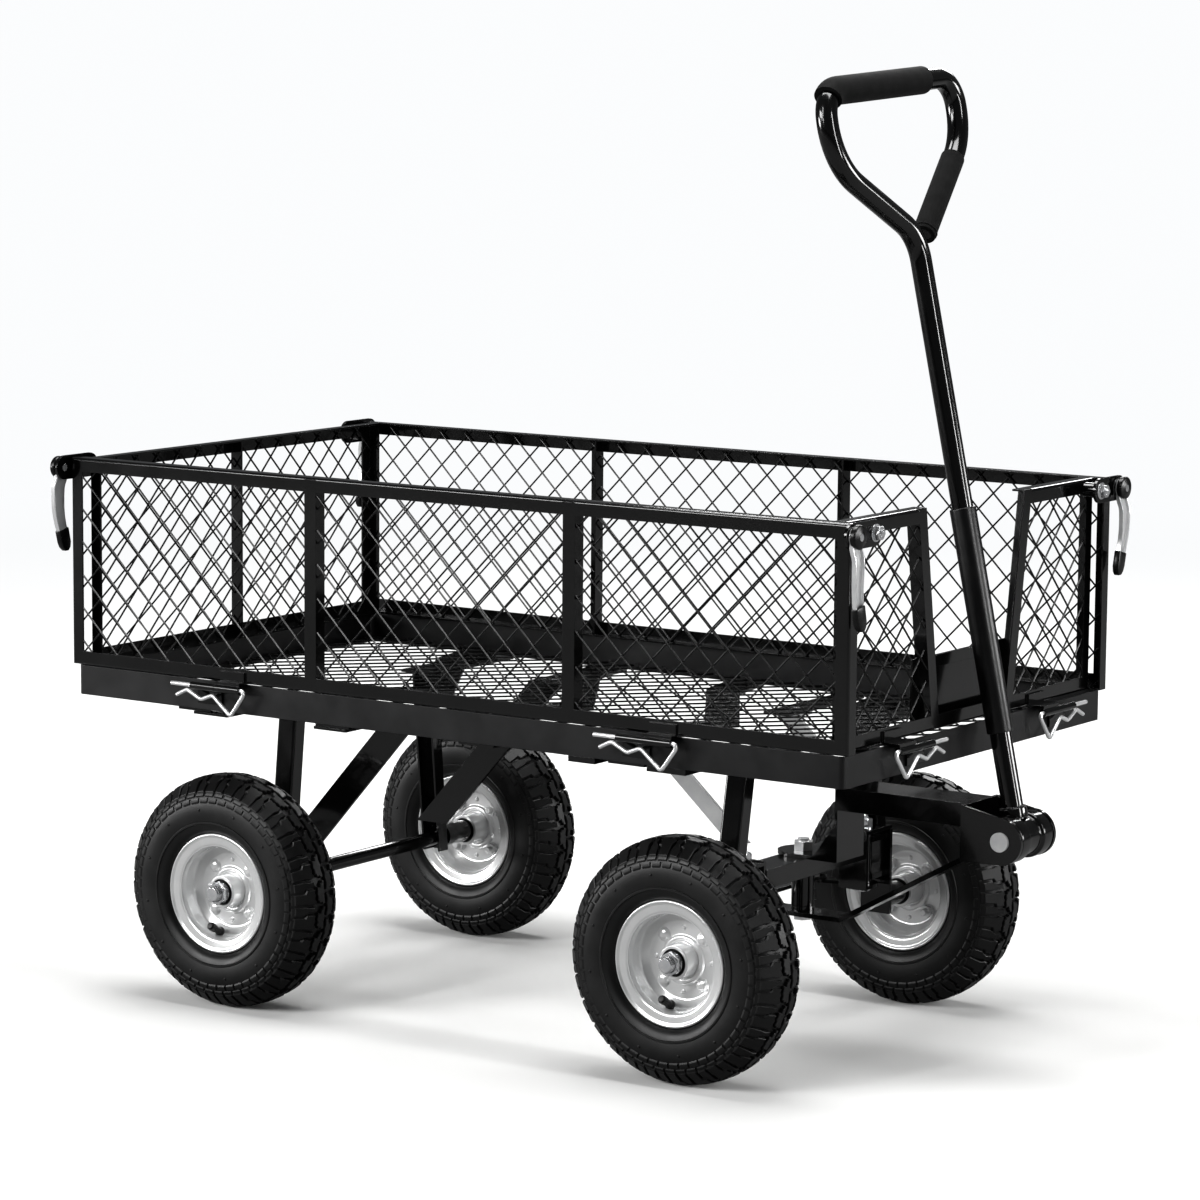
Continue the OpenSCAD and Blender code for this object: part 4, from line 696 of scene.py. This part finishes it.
def tread_radius(y):
    """Radius of the top of the tread at a distance from the middle of the tyre."""
    return min(centre + math.sqrt(max(0.0, radius**2 - y * y)) for centre, radius in TREAD_ARCS)


def side_at(radius):
    """How far out the smooth side wall stands at a radius."""
    for (r0, y0), (r1, y1) in zip(TYRE_SIDE, TYRE_SIDE[1:]):
        if r1 <= radius <= r0:
            return y0 + (y1 - y0) * (r0 - radius) / (r0 - r1)
    return 0.0


def add_lug(bm, outline, depth, edge):
    """Raised rubber block from an outline of (radius, degrees round, distance across)."""
    top = []
    for r, degrees, y in outline:
        a = math.radians(degrees)
        top.append(bm.verts.new((r * math.cos(a) * MM, r * math.sin(a) * MM, y * MM)))
    face = bm.faces.new(top)
    made = bmesh.ops.extrude_face_region(bm, geom=[face], use_keep_orig=True)["geom"]
    low = only(bmesh.types.BMVert, made)
    middle = sum((v.co for v in low), Vector()) / len(low)
    # Its root goes towards the wheel's middle, so that it stays inside the carcass
    inward = Vector((-middle.x, -middle.y, -middle.z * 0.9)).normalized()
    bmesh.ops.translate(bm, verts=low, vec=inward * depth * MM)
    bmesh.ops.bevel(bm, geom=list(face.edges), offset=edge * MM, segments=1, profile=0.5,
                    affect="EDGES", material=-1)


def lugs_round(bm, outline, depth, edge, count, offset_deg):
    """Repeats one block round the tyre."""
    lug = bmesh.new()
    add_lug(lug, outline, depth, edge)
    bmesh.ops.rotate(lug, verts=lug.verts, cent=(0, 0, 0), matrix=rotated(offset_deg, "Z").to_3x3())
    bmesh.ops.spin(lug, geom=lug.verts[:] + lug.edges[:] + lug.faces[:], cent=(0, 0, 0), axis=(0, 0, 1),
                   angle=math.tau * (count - 1) / count, steps=count - 1, use_duplicate=True)
    take(bm, lug, Matrix())


def tyre_mesh():
    """Tyre with its tread, the blocks and vent nibs of its side walls, and the valve stem."""
    bm = bmesh.new()
    lathed(bm, TYRE_SIDE + [(r, -y) for r, y in reversed(TYRE_SIDE) if y > 0], steps=128)
    pitch, turn = 360 / LUGS, 360 / WALL_BLOCKS
    for side in (-1, 1):
        for lug in (CENTRE_LUG, SHOULDER_LUG, GAP_LUG):
            outline = [(tread_radius(y), share * pitch + more, side * y) for y, share, more in lug]
            lugs_round(bm, outline, LUG_DEPTH, LUG_EDGE, LUGS, 0 if side > 0 else pitch / 2)
        for inner, outer, rise, shift in WALL_ROWS:
            block = [(r, a, side * (side_at(r) + rise)) for r, a in
                     rectangle(inner, outer, FREE_BEFORE, turn - FREE_AFTER)]
            lugs_round(bm, block, WALL_BLOCK_DEPTH, WALL_BLOCK_EDGE, WALL_BLOCKS, turn * shift)
        for k in range(NIBS):
            nib = (rotated(360 / NIBS * k + NIB_FIRST, "Z")
                   @ moved(NIB_RADIUS, 0, side * side_at(NIB_RADIUS)) @ facing(side))
            turned(bm, nib, [(1.6, -1.0), (1.5, 0.5), (0.8, 0.9)], 12, 0.3)
    stem = rotated(VALVE_ANGLE, "Z") @ moved(VALVE_RADIUS, 0, VALVE_HEIGHT) @ rotated(VALVE_LEAN, "Y")
    turned(bm, stem, [(5.4, -1.5), (5.2, 1.0), (3.9, 2.6), (3.7, 9.6), (4.1, 10.0), (4.1, 20.4), (3.0, 22)], 28, 0.6)
    for k in range(CAP_RIBS):
        pin(bm, stem @ rotated(360 * k / CAP_RIBS, "Z") @ moved(CAP_RADIUS, 0, 0), 11.2, 19.6, 0.4, 6)
    return bm


# ---------- rims and hubs ----------

# Half of the rim's section, (radius, distance from the middle): hub seat, web, well, lip
RIM_SIDE = [
    (17.6, 2.1), (18.6, 2.1), (20.2, 4.6), (24.0, 4.6), (25.6, 2.1), (40.4, 2.1), (49.3, 8.4), (49.3, 21.4),
    (51.4, 27.2), (60.6, 28.4), (63.6, 30.2), (65.4, 28.8), (64.6, 26.75), (51.3, 26.7),
]
WEB_FACE, BOLT_CIRCLE = 2.1, 33
BOLT_ANGLES, RIVET_ANGLES = (45, 135, 225, 315), (0, 90, 180, 270)
HUB_SHELL = [(14.4, -28), (17.5, -28), (17.5, 21), (14.4, 21)]
BEARING_BORE, BEARING_RADIUS = 8.15, 10.2
# Where each bearing sleeve and each seal lies along the axle
BEARINGS, SEALS = ((-27.4, -17), (12, 20.4)), ((-26.6, -18), (12, 19.4))


def rim_mesh():
    """Two pressed halves, back to back, with the rivets between the bolts."""
    bm = bmesh.new()
    half = filleted(RIM_SIDE, 5.0, 5)
    lathed(bm, half + [(r, -y) for r, y in reversed(half)], steps=112)
    for side in (1, -1):
        for angle in RIVET_ANGLES:
            spot = rotated(angle, "Z") @ moved(BOLT_CIRCLE, 0, WEB_FACE * side) @ facing(side)
            turned(bm, spot, [(2.6, -0.6), (2.5, 0.7), (1.5, 1.4)], 18, 0.4)
    return bm


def hub_mesh():
    """Hub tube with its bearing sleeves and the four bolts through the rim."""
    bm = bmesh.new()
    ring_solid(bm, Matrix(), filleted(HUB_SHELL, 0.9), 64)
    bore, out = BEARING_BORE, BEARING_RADIUS
    for low, high in BEARINGS:
        ring_solid(bm, Matrix(), [(bore, low), (out - 0.3, low), (out, low + 0.3), (out, high - 0.3),
                                  (out - 0.3, high), (bore, high)])
    for angle in BOLT_ANGLES:
        spot = rotated(angle, "Z") @ moved(BOLT_CIRCLE, 0, 0)
        turned(bm, spot, [(7.4, WEB_FACE), (7.2, 2.9), (6.6, 3.4), (5.2, 5.4), (2.6, 6.4)], 32, 1.2)
        nutted_end(bm, spot @ facing(-1) @ moved(0, 0, WEB_FACE), "rim_bolt")
    return bm


def seal_mesh():
    """Rubber seals of the bearings, each with a raised lip."""
    bm = bmesh.new()
    for low, high in SEALS:
        ring_solid(bm, Matrix(), [(10.25, low), (14.4, low), (14.4, high), (13.2, high), (12.6, high - 0.6),
                                  (11.8, high - 0.6), (11.2, high), (10.25, high)])
    return bm


FRONT_AXLE, REAR_AXLE, AXLE_Z, WHEEL_Y = 257.4, -326.1, 127, 224
# From the middle of a wheel to the seat of the washer that holds it on
AXLE_SEAT = 21.4


def on_axle(x, side):
    """Placement at the middle of a wheel, with +Z along its axle and away from the cart."""
    return moved(x, side * WHEEL_Y, AXLE_Z) @ rotated(-side * 90, "X")


for wheel, x, side in (("fr", FRONT_AXLE, -1), ("fl", FRONT_AXLE, 1), ("rr", REAR_AXLE, -1), ("rl", REAR_AXLE, 1)):
    body = wheel + "_wheel"
    for part, maker in (("tyre", tyre_mesh), ("rim", rim_mesh), ("hub", hub_mesh), ("seal", seal_mesh)):
        bm = maker()
        bmesh.ops.transform(bm, matrix=on_axle(x, side), verts=bm.verts)
        name = wheel + "_" + part + "_detail"
        if part == "seal":
            make_piece(name, bm, body, node_slot[wheel + "_tyre"], limit_deg=32)
        else:
            stand_in(name, bm, body, wheel + "_" + part, limit_deg=32)

for body, node, side in (("right_stub", "right_stub_nut", -1), ("left_stub", "left_stub_nut", 1)):
    bm = bmesh.new()
    nutted_end(bm, on_axle(FRONT_AXLE, side) @ moved(0, 0, AXLE_SEAT), "axle")
    stand_in(node + "_detail", bm, body, node, fastener_zinc, 28)


# ---------- corner latches ----------

# Height of the latches, and how far out their lever pivots and corner bolts are
LATCH_Z, PIVOT_Y, BOLT_Y = 576, 271, 230
# Outer face of a latch plate, where its lever and the corner bolt's washer start
LEVER_SEAT, WASHER_SEAT = 12.4, 12
# Down a lever: height, how far it is jogged out, half its width, and its sway across
LEVER_STATIONS = [
    (-5, 0, 8.8, 0), (-9, 0, 8.8, 0), (-12, 0.3, 8.7, 0.2), (-16, 1.5, 8.6, 0.4), (-20, 2.9, 8.5, 0.7),
    (-24, 3.5, 8.4, 0.9), (-32, 3.6, 8.2, 1.2), (-44, 3.3, 7.8, 1.2), (-54, 2.8, 7.4, 0.4),
    (-63, 2.2, 7.1, -1.2), (-72, 1.5, 6.8, -3.6),
]
# Round head of the lever and the cam drum over it, (radius, height) from the seat
LEVER_HEAD = [(4.15, 0), (10, 0), (10, 1.8), (4.15, 1.8)]
CAM_DRUM = [(4.15, 1.9), (12.0, 1.9), (12.0, 8.0), (4.15, 9.6)]
# Lips of the channel: lowest and highest, where they start to rise and how steeply
LIP_LOW, LIP_HIGH, LIP_FROM_Z, LIP_SLOPE = 1.8, 5.2, -6.0, 1.1
# Corner bolt and lever pivot, out of the tray: from, to, radius
CORNER_BOLT, PIVOT_BOLT = (-7, 13.5, 3.95), (9, 21.6, 3.9)
# Outline of the boot on the end of a lever, its thickness and edge, its place and its lean
BOOT = [
    (-7.8, 0.5), (-7.0, 1.8), (7.0, 1.8), (7.8, 0.5), (7.6, -12), (6.2, -18), (2.8, -22.5), (-1.5, -23.5),
    (-5.4, -20.5), (-7.6, -15),
]
BOOT_THICK, BOOT_EDGE, BOOT_AT, BOOT_LEAN = 7.2, 1.3, (13.2, PIVOT_Y - 3.2, -69.5), -14


def at_corner(end, side):
    """Placement with X out of an end of the tray, Y out to a side and Z up, at a latch."""
    return moved(FRONT_X if end > 0 else REAR_X, 0, LATCH_Z) @ Matrix.Diagonal((end, side, 1, 1))


def facing_out(corner, x, y):
    """Placement at a latch whose Z runs out of the end of the tray."""
    return corner @ moved(x, y, 0) @ rotated(90, "Y")


def latch_bolts(bm, corner):
    """Corner bolt with its washer, nut and thread, and the pivot bolt of the lever."""
    pin(bm, facing_out(corner, 0, BOLT_Y), *CORNER_BOLT)
    nutted_end(bm, facing_out(corner, WASHER_SEAT, BOLT_Y), "corner_bolt")
    pin(bm, facing_out(corner, 0, PIVOT_Y), *PIVOT_BOLT)


def channel(half_width, lip):
    """Section of the lever, a shallow channel whose open side faces out, as (across, out)."""
    w = half_width
    return [(-w, 0.6), (-w + 0.6, 0), (w - 0.6, 0), (w, 0.6), (w, lip - 0.3), (w - 0.5, lip), (w - 1.5, lip - 0.3),
            (w - 1.6, 1.7), (-w + 1.6, 1.7), (-w + 1.5, lip - 0.3), (-w + 0.5, lip), (-w, lip - 0.3)]


def lever_strip(bm, corner):
    """Pressed channel of the lever, jogged outward below its round head."""
    ring_solid(bm, facing_out(corner, LEVER_SEAT, PIVOT_Y), filleted(LEVER_HEAD, 0.4), 40)
    part = bmesh.new()
    ring = []
    for z, out, half_width, sway in LEVER_STATIONS:
        outline = channel(half_width, min(LIP_HIGH, LIP_LOW + max(0.0, LIP_FROM_Z - z) * LIP_SLOPE))
        if ring:
            ring = extruded(part, ring)
        else:
            ring = [part.verts.new() for _ in outline]
            part.faces.new(ring)
        for vert, (y, height) in zip(ring, outline):
            vert.co = Vector((LEVER_SEAT + out + height, PIVOT_Y + sway + y, z)) * MM
    bmesh.ops.contextual_create(part, geom=ring_edges(ring))
    take(bm, part, corner)


def lever_tip(bm, corner):
    """Cam drum round the pivot, and the plastic boot on the end of the lever."""
    ring_solid(bm, facing_out(corner, LEVER_SEAT, PIVOT_Y), filleted(CAM_DRUM, 1.8))
    place = corner @ moved(*BOOT_AT) @ rotated(BOOT_LEAN, "X") @ STOOD_ACROSS
    plate(bm, BOOT, BOOT_THICK, place, BOOT_EDGE)


for name, end, side in (("fr", 1, -1), ("fl", 1, 1), ("rr", -1, -1), ("rl", -1, 1)):
    for node, maker in ((name + "_lever", lever_strip), (name + "_lever_tip", lever_tip)):
        bm = bmesh.new()
        maker(bm, at_corner(end, side))
        stand_in(node + "_detail", bm, name + "_latch", node, limit_deg=32)

bm = bmesh.new()
for side in (-1, 1):
    latch_bolts(bm, at_corner(-1, side))
stand_in("rear_latch_fasteners", bm, "rear_end", "rear_latch_bolts", fastener_zinc, 28)


# ---------- chassis fasteners and welds ----------

# Bolts that hang down through the floor straps and the feet of the braces
STRAP_BOLT_X, STRAP_BOLT_Y, STRAP_BOLT_Z = (REAR_AXLE + 161, FRONT_AXLE - 102), 147.85, 318
STRAP_SHANK = (1, -7, 3.95)
# Kingpins: distance from the middle, underside of the head, seat of the washer, top of the shank
KINGPIN_Y, KINGPIN_HEAD, KINGPIN_SEAT, KINGPIN_TOP, KINGPIN_RADIUS = 120, 145.8, 209, 220, 5.98
# Its head is a nut whose bore a flush plug closes
HEAD_SIZE, HEAD_PLUG = (16, 5, 3.0), [(3.2, 0.5), (3.2, 4.6)]

bm = bmesh.new()
for side in (-1, 1):
    latch_bolts(bm, at_corner(1, side))
    nutted_end(bm, on_axle(REAR_AXLE, side) @ moved(0, 0, AXLE_SEAT), "axle")
    for x in STRAP_BOLT_X:
        under = moved(x, side * STRAP_BOLT_Y, STRAP_BOLT_Z) @ facing(-1)
        nutted_end(bm, under, "strap_bolt")
        pin(bm, under, *STRAP_SHANK, sides=20)
stand_in("chassis_fasteners", bm, "chassis", "chassis_bolts", fastener_zinc, 28)

bm = bmesh.new()
for side in (-1, 1):
    kingpin = moved(FRONT_AXLE, side * KINGPIN_Y, 0)
    pin(bm, kingpin, KINGPIN_HEAD, KINGPIN_TOP, KINGPIN_RADIUS, 32)
    nutted_end(bm, kingpin @ moved(0, 0, KINGPIN_SEAT), "kingpin")
    head = kingpin @ moved(0, 0, KINGPIN_HEAD) @ facing(-1)
    hex_nut(bm, head, *HEAD_SIZE)
    turned(bm, head, HEAD_PLUG, 20, 0.4)
stand_in("kingpin_bolts", bm, "chassis", "kingpins", fastener_zinc, 28)

# Welds across both faces of each leg's head, and where the front beam meets its brackets
LEG_HEAD_Z, LEG_FACES, LEG_HALF = 321.6, (130, 111), 11
BEAM_END_Y, BEAM_WELD_HEIGHTS, BEAM_HALF = 104, (209.4, 145.4), 15

bm = bmesh.new()
for side in (-1, 1):
    for x in (REAR_AXLE, FRONT_AXLE):
        for y in LEG_FACES:
            weld(bm, (x - LEG_HALF, side * y, LEG_HEAD_Z), (x + LEG_HALF, side * y, LEG_HEAD_Z))
    for z in BEAM_WELD_HEIGHTS:
        weld(bm, (FRONT_AXLE - BEAM_HALF, side * BEAM_END_Y, z), (FRONT_AXLE + BEAM_HALF, side * BEAM_END_Y, z))
make_piece("chassis_weld_beads", bm, "chassis", "black_paint")


# ---------- studio ----------

BACKDROP, BACKDROP_LEVEL = "#f1f2f3", 0.92
# Over this distance from the middle, in metres, the floor runs out into the light of the backdrop
FADE_FROM, FADE_TO, FLOOR_RADIUS = 1.2, 5.0, 60
# What the cart mirrors of the floor and the room is held back, as black flags round a set would
FLAGGED_FLOOR, FLAGGED_ROOM, FLAGGED_LEVEL = "#8c8c8c", "#f4f6f8", 0.1


def seen_or_mirrored(tree, seen, mirrored):
    """One shader for what the camera sees directly and another for all other light."""
    direct = add(tree, "LightPath").outputs["Is Camera Ray"]
    return add(tree, "MixShader", _0=direct, _1=mirrored, _2=seen).outputs["Shader"]


# Seamless studio paper: pale and matt, a little uneven
paper, tree = bare_material("pale_studio_paper")
spot = add(tree, "TexCoord").outputs["Object"]
_, tone = blotches(tree, spot, 700, ["#e2e2e1", "#e7e7e6"], Detail=3.0)
sheet = add(tree, "BsdfDiffuse", Color=tone, Roughness=0.9).outputs["BSDF"]
glow = add(tree, "Emission", Color=colour(BACKDROP), Strength=BACKDROP_LEVEL).outputs["Emission"]
distance = add(tree, "VectorMath", {"operation": "LENGTH"}, _0=spot).outputs["Value"]
fade = add(tree, "MapRange", {"interpolation_type": "SMOOTHERSTEP"}, Value=distance,
           From_Min=FADE_FROM, From_Max=FADE_TO).outputs["Result"]
seen = add(tree, "MixShader", _0=fade, _1=sheet, _2=glow).outputs["Shader"]
flag = add(tree, "BsdfDiffuse", Color=colour(FLAGGED_FLOOR), Roughness=0.9).outputs["BSDF"]
add(tree, "OutputMaterial", Surface=seen_or_mirrored(tree, seen, flag))

bm = bmesh.new()
bmesh.ops.create_circle(bm, cap_ends=True, segments=96, radius=FLOOR_RADIUS)
mesh = bpy.data.meshes.new("studio_floor")
bm.to_mesh(mesh)
bm.free()
mesh.materials.append(paper)
studio_floor = bpy.data.objects.new("studio_floor", mesh)
bpy.context.scene.collection.objects.link(studio_floor)

# Softboxes: place and aim in metres, width and height, power in watts
SOFTBOXES = {
    "overhead": ((0.0, 0.2, 3.4), (0, 0, 0.3), (3.2, 1.6), 120),
    "near_box": ((-3.0, -4.9, 2.5), (0, 0, 0.4), (2.4, 1.4), 130),
    "tube_strip": ((-0.6, -4.2, 2.7), (0, 0, 0.5), (0.22, 2.4), 40),
    "low_box": ((-4.4, -3.2, 0.9), (0, 0, 0.13), (1.8, 0.7), 70),
    "far_box": ((4.2, 2.7, 1.0), (0.5, 0, 0.5), (1.8, 0.8), 60),
    "front_strip": ((4.0, -0.2, 1.5), (0, 0, 0.5), (0.3, 2.4), 50),
    "back": ((-1.2, 3.6, 2.4), (0, 0, 0.4), (2.4, 0.8), 60),
}
for name, (at, aim, size, power) in SOFTBOXES.items():
    light = bpy.data.lights.new(name, "AREA")
    light.shape = "RECTANGLE"
    light.size, light.size_y = size
    light.energy = power
    softbox = bpy.data.objects.new(name, light)
    softbox.location = at
    softbox.rotation_mode = "QUATERNION"
    softbox.rotation_quaternion = (Vector(aim) - Vector(at)).to_track_quat("-Z", "Y")
    bpy.context.scene.collection.objects.link(softbox)

world = bpy.data.worlds.new("studio")
world.use_nodes = True
tree = world.node_tree
tree.nodes.clear()
backdrop = add(tree, "Background", Color=colour(BACKDROP), Strength=BACKDROP_LEVEL).outputs["Background"]
room = add(tree, "Background", Color=colour(FLAGGED_ROOM), Strength=FLAGGED_LEVEL).outputs["Background"]
add(tree, "OutputWorld", Surface=seen_or_mirrored(tree, backdrop, room))
bpy.context.scene.world = world
bpy.context.scene.view_settings.view_transform = "Standard"
bpy.context.scene.view_settings.look = "Medium High Contrast"

# Where the camera stands, in metres, its right and its back, and its lens
CAMERA_AT, CAMERA_LENS = (2.599, -3.800, 1.080), 130.2
CAMERA_RIGHT = Vector((0.8245, 0.5658, 0.0078)).normalized()
CAMERA_BACK = Vector((0.55967, -0.81739, 0.13653)).normalized()

camera_data = bpy.data.cameras.new("camera")
camera_data.sensor_width = 36
camera_data.lens = CAMERA_LENS
camera_data.clip_end = 100
camera = bpy.data.objects.new("camera", camera_data)
bpy.context.scene.collection.objects.link(camera)
turn = Matrix((CAMERA_RIGHT, CAMERA_BACK.cross(CAMERA_RIGHT), CAMERA_BACK)).transposed().to_4x4()
camera.matrix_world = Matrix.Translation(CAMERA_AT) @ turn
bpy.context.scene.camera = camera
